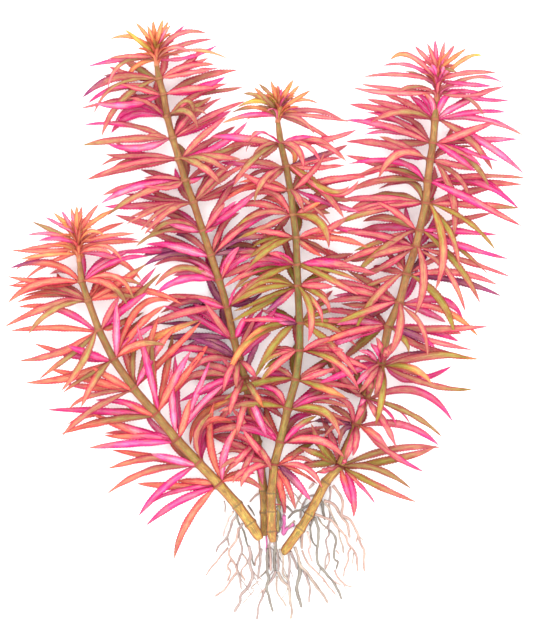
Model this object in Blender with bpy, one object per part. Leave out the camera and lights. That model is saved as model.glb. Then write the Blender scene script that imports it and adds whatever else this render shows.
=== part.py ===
"""Limnophila hippuridoides: four bare-rooted shoots lying together on a surface, as picked.

The shoots lie in the X-Y plane with their growing ends toward +Y, and +Z is up. The plant rests on
the tips of its lower leaves at Z = 0. Places are read in millimetres on the plant and are turned
into metres when a mesh is made.
"""
import itertools
import math

import bmesh
import bpy
import numpy as np
from mathutils.bvhtree import BVHTree

MM = 0.001
GAP = 0.3

# Leaves: real length along the blade, greatest width, depth of the keel under the blade
LEAF_LENGTH = 41.0
LEAF_WIDTH = 4.4
YOUNG_LEAF_WIDTH = 3.0
KEEL_DEPTH = 1.0
LEAVES_IN_WHORL = 7

# Leaf sections: bow and arch above which a leaf has two, and how it narrows beyond a share of it
STRONG_BOW = 4.0
STRONG_ARCH = 4.0
FULL_WIDTH_TO = 0.6
OUTER_WIDTH = 0.86
CURVED_STATIONS = (1 / 3, 2 / 3)
PLAIN_STATIONS = (0.5,)
LOWEST_CONTROL = 2.0

# Width of a leaf by its reach in the plane, and how width and roll change from leaf to leaf
NARROWEST = 0.55
REACH_OF_GROWTH = 60.0
WIDTH_SWING = 0.08
WIDTH_ORDER_ANGLE = 2.4
ROLL = 26.0
ROLL_SWING = 14.0
ROLL_ORDER_ANGLE = 1.7

# How leaves stand off the stem's plane, as shares of the length that the plane doesn't take up
OVER_RISE = 0.5
OVER_ARCH = 0.72
HIGHEST_OVER_RISE = 16.0
SIDE_RISE = 0.45
HIGHEST_SIDE_RISE = 12.0
SIDE_DROP = 0.8
SHORTEST_SPARE = 4.0
LEAST_HEIGHT = 0.5
RAISED_ARCH = 2.4
SUNKEN_ARCH = -1.2

# Leaves added where a whorl's readings leave a wide gap, as shares of a leaf's length
ADDED_ASIDE = 0.72
ADDED_AHEAD = 0.54
ADDED_RISE = 0.75
HIGHEST_ADDED_SINE = 0.5
SIDEWAYS_SHARE = 0.85
ADDED_BOW = -2.0
SKYWARD_SINE = 0.8
SKYWARD_LIKING = 0.3

# Collar that joins a whorl's leaf bases round the stem, with a knife edge toward the stem
COLLAR_HEIGHT = 2.2
COLLAR_DEPTH = 1.0
WIDEST_FACET = math.radians(48)
HALF_LEAF_FACET = math.radians(17)
LEAST_SPACING = math.radians(19)
LEAST_ROOM = 0.02
SPREAD_ROUNDS = 200

# Stems, rings and buds: the axis rises by a smooth step of RISE_RATE times the share less RISE_DELAY
STEM_SIDES = 6
RISE_RATE = 1.7
RISE_DELAY = 0.2
RING_HEIGHT = 1.8
RING_SWELLING = 0.3
CUT_END = 1.5
BUD_SIDES = 9
BUD_TIERS = 3
BUD_RADII = (0.95, 1.45, 1.2, 0.35)
BUD_LEAF_SWINGS = (-0.33, 0.45, -0.12, 0.27)

# Clearance wanted round a leaf or root, and the turns, arches and heights tried to find it. The
# stretch next to the facet, a share of the way to the first section, may touch its own collar.
CLEARANCE = 0.35
NEAR_FACET = 0.04
ROOT_CLEARANCE = 1.45
TURN_TRIES = (0.0, 1.5, -1.5, 3.0, -3.0, 5.0, -5.0, 8.0, -8.0, 11.0, -11.0)
ARCH_TRIES = (1.0, 0.4, 1.7)
HEIGHT_TRIES = (0.0, 2.0, -2.0, 4.0, -4.0, 6.0, -6.0, 8.5, -8.5, 11.0, -11.0, 14.0)
HIGHEST_TIP = 36.0
SWAY_TRIES = (0.0, 1.2, -1.2, 2.4, -2.4, 3.6, -3.6, 5.0)
LEVEL_TRIES = (1.2, 3.2, 5.2, 7.2, 9.2, 11.2)
ROOT_SINK = 1.5
LOWEST_ROOT = 0.8
ROOT_AIM_DROP = 3.0

# Colours by shoot: leaves, stem and roots (linear red, green, blue)
LEAF_COLOURS = {"left": (0.80, 0.16, 0.14), "tall": (0.70, 0.10, 0.20),
                "middle": (0.52, 0.20, 0.10), "right": (0.68, 0.15, 0.15)}
TIP_COLOUR = (0.86, 0.30, 0.10)
STEM_COLOUR = (0.33, 0.22, 0.06)
ROOT_COLOUR = (0.50, 0.42, 0.36)

# Each shoot: bare rings and end of its rooted base, then heights of the stem's axis and radii.
# Whorls run from the shoot tip down. A leaf is its tip (x, y) and the bow of its middle toward the
# growing end. "beside" leaves lie at the stem's sides or under it, "over" leaves arch above it.
SHOOTS = {
    "left": {
        "foot": [(-3, -119), (-8, -110), (-15, -100)],
        "height": (9.5, 13.5), "radius": (3.0, 1.9),
        "bud": [(-103.0, 35), (-103.4, 41), (-103.8, 46.5), (-104.2, 52)],
        "whorls": [
            {"ring": (-101.5, 23),
             "beside": [(-118, 26.5, 0), (-141, 11, 4), (-141.5, 25.5, -1), (-66, 36, 3), (-87, 37, 0)],
             "over": [(-77, 10.5, 5)]},
            {"ring": (-98, 12.5),
             "beside": [(-143, -2, 6), (-66.5, 32, -1), (-72, 26, 0), (-47, 10.3, 4), (-92, 26, 0)],
             "over": [(-130, -6, 6)]},
            {"ring": (-92, -4),
             "beside": [(-136, 8.5, 4), (-140, -4.5, 1.5), (-135, -20.5, 1), (-81, 14, 0), (-61, 30, 0),
                        (-58.5, 26, -1)],
             "over": [(-112, -36.5, 0)]},
            {"ring": (-84, -20),
             "beside": [(-127, -11.5, -1.5), (-108, -13, 0), (-131.5, -33, 1), (-82, 10.5, 0),
                        (-79, -3, 0), (-52, 10, 0), (-37, 1.5, 0)],
             "over": [(-101, -45.5, 0), (-56.5, -12.5, 4)]},
            {"ring": (-73, -36),
             "beside": [(-118, -25.5, 0), (-95, -25, 0), (-109, -33.5, -1), (-111.5, -62, 4), (-81, -3, 0),
                        (-59, 3, 0), (-36, 0, 0), (-50, -3, 0)],
             "over": []},
            {"ring": (-61, -50),
             "beside": [(-120, -47.5, 2), (-80.5, -43, 0), (-112, -61, 3), (-70.5, -2, 0), (-51, -7, 0),
                        (-42, -16.5, 0), (-31, -11, 0)],
             "over": []},
            {"ring": (-49.5, -64),
             "beside": [(-95, -50.5, -1), (-97, -68.5, 1), (-50, -18, 0), (-42, -43, 0), (-38.5, -45, 0),
                        (-31, -22, 0)],
             "over": []},
            {"ring": (-37.5, -77),
             "beside": [(-84, -70, -1), (-62, -72.5, 0), (-86.5, -94, 3), (-30, -50.5, 5), (-9, -60, 11)],
             "over": [(-69.5, -105.5, 2)]},
            {"ring": (-26, -89),
             "beside": [(-70, -88.5, -1), (-65, -111, 2), (-28, -44, 4), (-16, -58, 2), (-7, -83, 2),
                        (-3, -92, 4)],
             "over": [(-50, -129, 4)]},
        ],
        "tip": [(-116, 60, 0), (-121, 58, 0), (-128, 55.5, 0), (-112, 61, 0), (-107, 62.5, 0),
                (-104, 63.5, 0), (-101.5, 63, 0), (-92.5, 64.5, 0), (-84, 62, 0), (-89.5, 47.5, 4),
                (-79, 55, 0), (-73, 49, 0), (-71, 46, 0), (-70, 43, 0), (-131, 48, 3), (-124, 45, 2),
                (-133, 40.5, 3.5), (-140, 40, 0), (-131, 24.5, 6), (-135, 35, 0), (-140, 30, 1.5),
                (-80, 34, 6), (-69.5, 24, 5), (-86, 38, 2)],
    },
    "tall": {
        "foot": [(-2, -118), (-2, -105), (-2, -93)],
        "bend": [(-3, -80), (-5, -66), (-9.5, -40), (-12, -30), (-15, -20)],
        "height": (3.2, 12.0), "radius": (2.6, 2.0),
        "bud": [(-60.3, 143.0), (-60.5, 146.5), (-60.7, 150), (-61, 154)],
        "whorls": [
            {"ring": (-59, 134.5),
             "beside": [(-100, 124, 6), (-27, 140, 0)],
             "over": [(-89.5, 103, 4)]},
            {"ring": (-56.5, 126),
             "beside": [(-97, 121, 5), (-79, 131, 0), (-101, 118, 0), (-93, 121, -5), (-16.5, 139, 2),
                        (-23.5, 135, -4), (-13.5, 129.5, -3), (-29, 129, 0), (-40, 130, 0)],
             "over": []},
            {"ring": (-54.5, 114),
             "beside": [(-84, 104.5, 5), (-75, 123, 2), (-36, 122, 0)],
             "over": [(-38, 107, 5)]},
            {"ring": (-51.5, 102),
             "beside": [(-99.5, 108.5, 4), (-65, 103, 0), (-100.5, 97.5, 1.5), (-86, 98.5, -5),
                        (-20, 116.5, -2), (-12.5, 121.5, 1), (-45.5, 116, 0)],
             "over": []},
            {"ring": (-48, 90.5),
             "beside": [(-82, 99.5, -3), (-92, 81, 3), (-98, 79, 0), (-11, 110, -4), (-17.5, 107.5, 0),
                        (-22.5, 112.5, 0)],
             "over": [(-25.5, 76.5, 1.5)]},
            {"ring": (-44.5, 78.5),
             "beside": [(-90, 70, 3), (-90, 66, 3), (-68, 84, 0), (-67, 76, 0), (-12, 98, 0)],
             "over": [(-86, 59.5, 2)]},
            {"ring": (-40, 66.5),
             "beside": [(-88, 64, 0), (-13, 86, 0), (-7, 78, -2)],
             "over": [(-66, 49, 3)]},
            {"ring": (-35, 51),
             "beside": [(-82, 59.5, -3), (-52, 54, 0), (-14, 83, 0), (-23, 65, 0), (-5, 73, -1)],
             "over": [(-70.5, 42, 5)]},
            {"ring": (-30.5, 37.5),
             "beside": [(-77, 38.5, 2), (-67, 31, 3), (-64, 50, 0), (-58, 44, 0), (1, 65, 2), (9, 61.5, 2),
                        (-23.5, 57, 0)],
             "over": []},
            {"ring": (-26, 24),
             "beside": [(-60.5, 31, 7), (-61, 17, 5), (-1, 38, 11), (-15.5, 40.5, 0)],
             "over": [(-60, 18, 6)]},
            {"ring": (-21.5, 9),
             "beside": [(-60, 13, 3), (-36, 13, 0), (-57, 0, 3), (-17, 18, 0), (-10, 10, 0)],
             "over": []},
            {"ring": (-18, -8),
             "beside": [(-56, 9, 1), (-33, 10, 0), (-58, -8.5, 0), (-12, 3, 0), (3, 4, 0)],
             "over": []},
        ],
        "tip": [(-71, 164.5, 0), (-77, 161, 0), (-75, 158.5, 0), (-85, 155.5, 4), (-86, 145.5, 5),
                (-65, 163, 0), (-62, 165.5, 0), (-57, 166, 0), (-54, 165, 0), (-51.5, 162, 0),
                (-45.5, 163, 0), (-33.5, 159, 4), (-30.5, 156, 0), (-42.5, 148.5, 4), (-97, 141, 4),
                (-86, 129.5, 6), (-76, 132.5, 4), (-22, 145, 5), (-27, 153, -4)],
    },
    "middle": {
        "foot": [(4, -121), (3, -115), (3, -104), (3, -94)],
        "height": (10.3, 17.0), "radius": (2.8, 1.9),
        "bud": [(6.5, 111.5), (6.7, 115), (7.0, 118.5), (7.5, 122.5)],
        "whorls": [
            {"ring": (8, 99),
             "beside": [(-8, 97, 0), (-29, 102.5, 0), (-26, 93, 2), (24, 102, 0), (49, 106, -3)],
             "over": [(-10, 94.5, 7), (43, 89, 3), (20, 86, 3), (-17, 76, 2)]},
            {"ring": (11, 86),
             "beside": [(-24, 88, 0), (-16, 88.5, 0), (-11, 80, 0), (50, 77.5, 4), (44, 97.5, -1)],
             "over": [(-6, 66.5, 2), (42, 58.5, 2)]},
            {"ring": (13.5, 73),
             "beside": [(-5, 68, 0), (56, 60.5, -3), (60, 83, 0)],
             "over": [(20.5, 62, 0)]},
            {"ring": (15, 59.5),
             "beside": [(-20, 63, 4), (-8, 48.5, 3), (3, 48, 0), (29, 66, 0)],
             "over": [(33.5, 42, 5)]},
            {"ring": (16.5, 47),
             "beside": [(-7, 44, 0), (-4, 50, 0), (45, 36, -3), (32, 52, 0)],
             "over": [(-9, 30.5, 1)]},
            {"ring": (17, 32),
             "beside": [(-22, 20, 2), (8, 37, 0), (47, 38, 0), (48, 31, 0)],
             "over": [(50, 16, 0), (-18, 11, 2)]},
            {"ring": (17.5, 20.5),
             "beside": [(-20, 27, 2), (-18.5, 1.5, 1), (38, 30, 0), (36, 20, 0)],
             "over": [(-18, 10.5, 2), (23, -9, 4)]},
            {"ring": (18.5, 0),
             "beside": [(3, 8.5, 0), (-12, 1, 0), (36, 17, 0), (8, 0, 0)],
             "over": [(-21, -34, 8), (-7, -31, 4), (50, -28, 0)]},
            {"ring": (18.5, -15),
             "beside": [(2, -14, 0), (-2, -31, 0), (4, -26, 0), (35, -9, 0), (30, -19, 0)],
             "over": [(50, -36, 4)]},
            {"ring": (16.5, -31),
             "beside": [(2, -24, 0), (-22, -42, 3), (0, -33, 0), (37, -25, 0)],
             "over": [(43, -41, 0)]},
            {"ring": (12, -47),
             "beside": [(-12, -40, 0), (-25, -49, 3), (-3, -46, 0), (45, -42, 3), (-10, -48, 4)],
             "over": [(40, -62, 8)]},
            {"ring": (8, -65.5),
             "beside": [(-33, -62, 4), (27, -52, 2), (41, -64, 0)],
             "over": [(42, -74, 5)]},
            {"ring": (4.5, -78),
             "beside": [(-30, -62, 0), (-12, -60, 0), (27, -65, 0), (24, -97, 3), (18, -82, 0)],
             "over": [(-13, -90, 4), (30, -90.5, 5)]},
        ],
        "tip": [(-3.5, 131, 0), (-6, 129, 0), (-11.5, 125.5, 0), (-15, 118.5, 0), (-18, 115.5, 3),
                (3, 132.5, 0), (7, 130.5, 0), (14.5, 133, 0), (18, 130.5, 0), (24, 127.5, 0),
                (28, 120.5, 4), (-23, 110, 3), (42, 111, 5), (25.5, 104.5, 3), (37, 99, 1), (45, 110.5, 1)],
    },
    "right": {
        "foot": [(9, -128), (19, -114), (24, -106), (33, -88)],
        "height": (5.0, 14.0), "radius": (2.9, 2.2),
        "bud": [(94.0, 123), (94.2, 130), (94.4, 136.5), (94.5, 143)],
        "whorls": [
            {"ring": (93, 112),
             "beside": [(47, 120.5, 0), (56.5, 123, 0), (140.5, 103.5, 4), (131, 116, 0)],
             "over": [(58.5, 110, 4), (124, 84.5, 3), (141, 83, 1)]},
            {"ring": (92, 99),
             "beside": [(65, 115, 5), (45, 111.5, 0), (52, 98.5, 5), (124.5, 110, 0), (138, 101, 0),
                        (114, 84, 0)],
             "over": [(122, 76, 3)]},
            {"ring": (90.5, 90),
             "beside": [(45, 99.5, 0), (63, 102, 0), (70, 92, 0), (114, 84.5, 0)],
             "over": [(63, 80, 6), (102, 47, 5)]},
            {"ring": (89, 78),
             "beside": [(45, 92, 0), (46, 87, 0), (45, 71.5, 5), (143, 79.5, 0), (140, 76.5, 0),
                        (138.5, 63, 0)],
             "over": [(140, 53.5, 3)]},
            {"ring": (88, 66),
             "beside": [(52, 66.5, 3), (38, 54, 0), (127, 74.5, 0), (138, 63, 0)],
             "over": [(93, 19.5, 5), (125.5, 40, 3)]},
            {"ring": (84.5, 51),
             "beside": [(52, 50.5, 0), (62, 66, 0), (123, 60, 0), (133, 35.5, 1)],
             "over": [(50, 27, 1), (117, 11.5, 2)]},
            {"ring": (82.5, 42),
             "beside": [(60, 49, 0), (40, 32, 3), (134, 25.5, 2)],
             "over": [(82, 5.5, 3)]},
            {"ring": (77.5, 27),
             "beside": [(60, 31, 0), (126.5, 21, 3), (128.5, 15, 0)],
             "over": [(50, -3, 2), (103, -5, 3)]},
            {"ring": (73.5, 11),
             "beside": [(53, 2, 0), (40, 0, 0), (107, 3, 8), (116, -7, 4), (98, 1, 0)],
             "over": [(68, -17, 2)]},
            {"ring": (67.5, -2),
             "beside": [(60, 6, 0), (32, -11, 0), (42, -20, 0), (121, -2.5, 1), (107, -5.5, 0),
                        (113, -15, 0)],
             "over": [(78, -17, 2)]},
            {"ring": (63.5, -23),
             "beside": [(56, -15, 0), (112, -20, 0), (101, -23.5, -4), (50, -34, 0), (40, -27, 0),
                        (30, -33, 0), (83, -29, 0), (112, -37, -2)],
             "over": [(90, -33, 3), (60.5, -55, 1)]},
            {"ring": (55, -41),
             "beside": [(102, -54, 5), (50, -40, 0), (57, -44, 0)],
             "over": [(96, -62.5, 5)]},
            {"ring": (50, -56),
             "beside": [(35, -46, 0), (42, -43, 0), (27, -54, 0), (94, -67.5, 3)],
             "over": [(71.5, -68, 0), (86, -81.5, 0)]},
            {"ring": (41, -79),
             "beside": [(18, -79, 0), (95, -69, -2), (48, -106, 1)],
             "over": [(27, -82, 0), (82, -98.5, 2)]},
        ],
        "tip": [(82.5, 151.5, 0), (89, 153, 0), (93, 155, 0), (98, 154, 0), (103.5, 152.5, 0),
                (109.5, 150.5, 0), (118, 146.5, 0), (69, 144, 3), (82, 141, 0), (104, 138, 0),
                (64.5, 141, 0), (54, 135, 1), (77, 138, 0), (126, 137.5, 3), (130, 131, 4), (123, 131, 0),
                (53.5, 131, 0), (48, 129.5, 0), (69.5, 123, 4), (131, 127.5, -3), (119.5, 124, 0),
                (119, 114, 4), (133.5, 122.5, 0)],
    },
}

# Main roots of each shoot: number of the ring they grow from, then the points they run through
ROOTS = {
    "left": [(2, (-18, -108), (-19, -115), (-28, -127)), (1, (-17, -114), (-21, -125), (-33.5, -140)),
             (1, (-13, -120), (-15, -138), (-29, -151.5)), (1, (-11, -122), (-14, -134), (-13, -148.5)),
             (0, (-6, -126), (-8, -135), (-18, -160)), (0, (-5, -128), (-11, -141), (-12.5, -155)),
             (2, (-21, -101), (-22, -105), (-22, -112))],
    "tall": [(1, (-7, -112), (-7, -126), (-5, -142)), (0, (-3, -128), (-2, -140), (-4, -153)),
             (2, (-7, -99), (-8, -103), (-10, -109)), (0, (0, -130), (2, -142), (4, -160))],
    "middle": [(0, (4, -130), (0, -148), (-5, -165)), (1, (6, -126), (7, -146), (11, -157.5)),
               (1, (8, -122), (13, -142), (13.5, -164)), (0, (6, -132), (12, -148), (17, -158.5))],
    "right": [(0, (14, -130), (16.5, -147), (19.5, -158)), (1, (20, -124), (24, -143), (23.5, -155.5)),
              (1, (24, -122), (26, -140), (34.5, -155.5)), (1, (28, -122), (30, -134), (42.5, -153)),
              (2, (34, -112), (40, -130), (38.5, -151)), (2, (38, -108), (48, -128), (48.5, -146.5)),
              (3, (38, -100), (52, -122), (55.5, -138.5)), (3, (40, -94), (43, -108), (47, -119)),
              (2, (20, -100), (15, -104), (12, -108))],
}
ROOT_RADIUS = (0.75, 0.5)
ROOT_JOG = 1.2
ROOT_TURN = 0.5

UP = np.array((0.0, 0.0, 1.0))
FULL_TURN = 2 * math.pi


def unit(vector):
    """The vector at length one."""
    return vector / max(np.linalg.norm(vector), 1e-9)


def smooth_step(share):
    """Smooth step from 0 to 1."""
    share = min(max(share, 0.0), 1.0)
    return share * share * (3 - 2 * share)


def frame_of(tangent):
    """Side and upper direction of a stem: azimuth 0 points to its right, 90 degrees to the sky."""
    side = unit(np.cross(tangent, UP))
    return side, np.cross(side, tangent)


def loop_round(centre, tangent, radius, angles):
    """Points round a stem at the given azimuths."""
    side, upper = frame_of(tangent)
    angles = np.asarray(angles)[:, None]
    return centre + radius * (np.cos(angles) * side + np.sin(angles) * upper)


def even_angles(count):
    """Azimuths evenly spaced round a stem."""
    return np.arange(count) * FULL_TURN / count


def gaps_after(angles):
    """Angle from each azimuth to the next one, the last to the first."""
    return np.diff(np.append(angles, angles[0] + FULL_TURN))


class StemLine:
    """A shoot's axis: points from the cut end to the bud, each with its tangent and radius."""

    def __init__(self, shoot):
        places = shoot["foot"] + shoot.get("bend", [])
        places = places + [whorl["ring"] for whorl in reversed(shoot["whorls"])] + shoot["bud"][:1]
        places = np.array(places, float)
        steps = np.linalg.norm(np.diff(places, axis=0), axis=1)
        along = np.append(0.0, np.cumsum(steps)) / steps.sum()
        low, high = shoot["height"]
        heights = [low + (high - low) * smooth_step(share * RISE_RATE - RISE_DELAY) for share in along]
        self.points = np.column_stack((places, heights))
        self.radii = np.interp(along, (0, 1), shoot["radius"])
        slopes = np.gradient(self.points, axis=0)
        self.tangents = slopes / np.linalg.norm(slopes, axis=1)[:, None]

    def at(self, place):
        """Point, tangent and radius at the ring nearest to a place in the plane."""
        number = int(np.argmin(np.linalg.norm(self.points[:, :2] - np.array(place), axis=1)))
        return self.points[number], self.tangents[number], self.radii[number]


class Body:
    """Closed mesh of equal loops, whose side facets may grow into leaves or roots.

    A ring-shaped body joins its last loop to its first, and any other is capped at both ends.
    """

    def __init__(self, loops, ring_shaped=False):
        self.points = np.concatenate(loops)
        self.count = len(loops[0])
        self.loops = len(loops)
        self.ring_shaped = ring_shaped
        self.limbs = {}

    def corners(self, band, facet):
        """Point numbers of a facet, in order round it."""
        low = band * self.count
        high = ((band + 1) % self.loops) * self.count
        after = (facet + 1) % self.count
        return [low + facet, low + after, high + after, high + facet]

    def facet_points(self, band, facet):
        """Places of a facet's four corners."""
        return self.points[self.corners(band, facet)]

    def mesh(self):
        """All points and triangles, with each limb grown out of its facet."""
        points = [self.points]
        total = len(self.points)
        faces = []
        for band in range(self.loops if self.ring_shaped else self.loops - 1):
            for facet in range(self.count):
                corners = self.corners(band, facet)
                limb = self.limbs.get((band, facet))
                if limb is None:
                    faces += [(corners[0], corners[1], corners[2]), (corners[0], corners[2], corners[3])]
                else:
                    faces += limb_faces(corners, self.points[corners], limb, total)
                    points += limb
                    total += sum(len(section) for section in limb)
        if not self.ring_shaped:
            last = (self.loops - 1) * self.count
            for facet in range(1, self.count - 1):
                faces.append((0, facet + 1, facet))
                faces.append((last, last + facet, last + facet + 1))
        return np.concatenate(points), faces


def turned_with(axis, numbers, points):
    """A loop's point numbers and flattened points, put in the turning sense of an axis."""
    side, upper = frame_of(axis)
    flat = (points - points.mean(axis=0)) @ np.array((side, upper)).T
    following = np.roll(flat, -1, axis=0)
    area = np.sum(flat[:, 0] * following[:, 1] - flat[:, 1] * following[:, 0])
    step = 1 if area > 0 else -1
    return list(numbers)[::step], flat[::step]


def band_between(first_numbers, first_points, second_numbers, second_points):
    """Triangles between two convex loops, as the skin that wraps them both would join them.

    Going once round, each edge of one loop joins the corner of the other that faces the same way.
    """
    axis = unit(second_points.mean(axis=0) - first_points.mean(axis=0))
    loops = [turned_with(axis, first_numbers, first_points), turned_with(axis, second_numbers, second_points)]
    edges, at = [], []
    for which, (numbers, flat) in enumerate(loops):
        run = np.roll(flat, -1, axis=0) - flat
        facing = np.arctan2(-run[:, 0], run[:, 1]) % FULL_TURN
        edges += [(angle, which) for angle in facing]
        at.append(int(np.argmin(facing)))
    faces = []
    for _, which in sorted(edges):
        numbers = loops[which][0]
        start, end = numbers[at[which]], numbers[(at[which] + 1) % len(numbers)]
        other = loops[1 - which][0][at[1 - which]]
        faces.append((start, end, other) if which == 0 else (end, start, other))
        at[which] = (at[which] + 1) % len(numbers)
    return faces


def limb_faces(corners, corner_points, limb, first):
    """Triangles of a leaf or root: from its facet through three-sided sections to its tip."""
    numbers, points = corners, corner_points
    faces = []
    for place, section in enumerate(limb[:-1]):
        following = range(first + 3 * place, first + 3 * place + 3)
        faces += band_between(numbers, points, following, section)
        numbers, points = following, section
    tip = first + 3 * (len(limb) - 1)
    numbers, _ = turned_with(unit(limb[-1][0] - points.mean(axis=0)), numbers, points)
    return faces + [(numbers[k], numbers[(k + 1) % 3], tip) for k in range(3)]


def limb_skin(facet_points, limb, start_share):
    """A limb's skin alone, which begins a share of the way from its facet."""
    base = facet_points * (1 - start_share) + limb[0].mean(axis=0) * start_share
    return np.concatenate([base] + limb), limb_faces([0, 1, 2, 3], base, limb, 4)


def above_surface(section):
    """A section raised as far as it reaches below the surface."""
    return section + UP * max(0.0, -section[:, 2].min())


def leaf_limb(root, control, tip, growing, roll, width, depth, stations):
    """Leaf blade: keeled sections along a quadratic axis, its face turned up and to the growing end."""
    sections = []
    facing = UP * math.cos(roll) + growing * math.sin(roll)
    for t in stations:
        centre = (1 - t) ** 2 * root + 2 * t * (1 - t) * control + t * t * tip
        heading = (1 - t) * (control - root) + t * (tip - control)
        across = unit(np.cross(heading, facing))
        under = unit(np.cross(heading, across))
        taper = 1.0 if t < FULL_WIDTH_TO else OUTER_WIDTH
        half = across * width * taper / 2
        section = np.array((centre - half, centre + half, centre + under * depth * taper))
        sections.append(above_surface(section))
    return sections + [np.maximum(tip, (-np.inf, -np.inf, 0.0))[None, :]]


def root_limb(points):
    """A root: three-sided sections that thin toward the tip, with a small jog between the points."""
    path = [points[0]]
    for number in range(1, len(points)):
        if number > 1:
            jog = unit(np.cross(points[number] - points[number - 1], UP)) * ROOT_JOG
            path.append((points[number - 1] + points[number]) / 2 + (jog if number % 2 else -jog))
        path.append(points[number])
    path = np.array(path)
    slopes = np.gradient(path, axis=0)
    sections = []
    for number in range(1, len(path) - 1):
        radius = np.interp(number / (len(path) - 1), (0, 1), ROOT_RADIUS)
        section = loop_round(path[number], unit(slopes[number]), radius, even_angles(3) + ROOT_TURN)
        sections.append(above_surface(section))
    return sections + [path[-1][None, :]]


def crosses_itself(points, faces):
    """Whether triangles of a skin that share no corner meet."""
    tree = BVHTree.FromPolygons(points.tolist(), faces)
    return any(not set(faces[a]) & set(faces[b]) for a, b in tree.overlap(tree) if a < b)


class Placed:
    """Skins already in place, searched for overlaps."""

    def __init__(self):
        self.items = []

    def add(self, points, faces):
        tree = BVHTree.FromPolygons(points.tolist(), faces)
        self.items.append((points.min(axis=0), points.max(axis=0), tree))

    def clashes(self, points, faces):
        """Whether a new skin meets one in place."""
        low, high = points.min(axis=0), points.max(axis=0)
        tree = None
        for item_low, item_high, item_tree in self.items:
            if (item_low > high).any() or (low > item_high).any():
                continue
            if tree is None:
                tree = BVHTree.FromPolygons(points.tolist(), faces)
            if tree.overlap(item_tree):
                return True
        return False


def spread_angles(angles):
    """Sorted azimuths pushed apart so that every leaf base has room on the collar."""
    angles = np.array(angles)
    for _ in range(SPREAD_ROUNDS):
        tight = np.maximum(LEAST_SPACING - gaps_after(angles), 0) / 2
        angles = angles - tight + np.roll(tight, 1)
    return angles


def collar_corners(angles):
    """Azimuths of the corners round a collar, and the facet number of each leaf."""
    gaps = gaps_after(angles)
    half = [min(gap / 2, HALF_LEAF_FACET) for gap in np.minimum(gaps, np.roll(gaps, 1))]
    corners, facets = [], []
    for k, angle in enumerate(angles):
        facets.append(len(corners))
        corners.append(angle - half[k])
        end = angle + half[k]
        room = angle + gaps[k] - half[(k + 1) % len(angles)] - end
        if room > LEAST_ROOM:
            pieces = math.ceil(room / WIDEST_FACET)
            corners += [end + room * part / pieces for part in range(pieces)]
    return corners, facets


def read_leaves(whorl, centre, side):
    """Leaves of a whorl at the places read for their tips, raised over, beside or under the stem."""
    leaves = []
    for kind in ("over", "beside"):
        for number, (x, y, bow) in enumerate(whorl[kind]):
            offset = np.array((x, y)) - centre[:2]
            spare = math.sqrt(max(LEAF_LENGTH ** 2 - offset @ offset, SHORTEST_SPARE ** 2))
            if kind == "over":
                rise, arch = min(OVER_RISE * spare, HIGHEST_OVER_RISE), OVER_ARCH * spare
            elif number % 2:
                rise, arch = min(SIDE_RISE * spare, HIGHEST_SIDE_RISE), RAISED_ARCH
            else:
                rise, arch = -min(SIDE_DROP * spare, centre[2] - LEAST_HEIGHT), SUNKEN_ARCH
            leaves.append({"offset": offset, "bow": bow, "rise": rise, "arch": arch,
                           "azimuth": math.atan2(rise + arch / 2, offset @ side[:2])})
    return leaves


def added_leaf(leaves, centre, tangent, side):
    """One more leaf in the widest gap round the stem, rarely toward the sky, so the stem shows."""
    angles = np.sort([leaf["azimuth"] for leaf in leaves])
    middles = angles + gaps_after(angles) / 2
    wanted = gaps_after(angles) * np.where(np.sin(middles) > SKYWARD_SINE, SKYWARD_LIKING, 1.0)
    azimuth = math.remainder(middles[int(np.argmax(wanted))], FULL_TURN)
    sideways = math.cos(azimuth)
    ahead = math.sqrt(1 - SIDEWAYS_SHARE * sideways ** 2)
    offset = LEAF_LENGTH * (ADDED_ASIDE * sideways * side[:2] + ADDED_AHEAD * ahead * unit(tangent[:2]))
    rise = ADDED_RISE * LEAF_LENGTH * min(math.sin(azimuth), HIGHEST_ADDED_SINE)
    return {"offset": offset, "bow": ADDED_BOW, "rise": max(rise, LEAST_HEIGHT - centre[2]),
            "arch": SUNKEN_ARCH, "azimuth": azimuth}


def leaf_tries(leaf, root, centre, tangent):
    """Curves tried for a leaf, the most wanted first: its tip and the control point of its axis."""
    for turn in np.radians(TURN_TRIES):
        spin = np.array(((math.cos(turn), math.sin(turn)), (-math.sin(turn), math.cos(turn))))
        place = centre[:2] + leaf["offset"] @ spin
        for arch_share in ARCH_TRIES:
            for change in HEIGHT_TRIES:
                height = centre[2] + leaf["rise"] + change
                if not 0.0 <= height <= HIGHEST_TIP:
                    continue
                tip = np.append(place, height)
                across = unit(np.cross(UP, tip - root))
                across = across if across @ tangent > 0 else -across
                control = (root + tip) / 2 + 2 * leaf["bow"] * across
                control[2] = max(control[2] + leaf["arch"] * arch_share, LOWEST_CONTROL)
                yield tip, control


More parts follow.
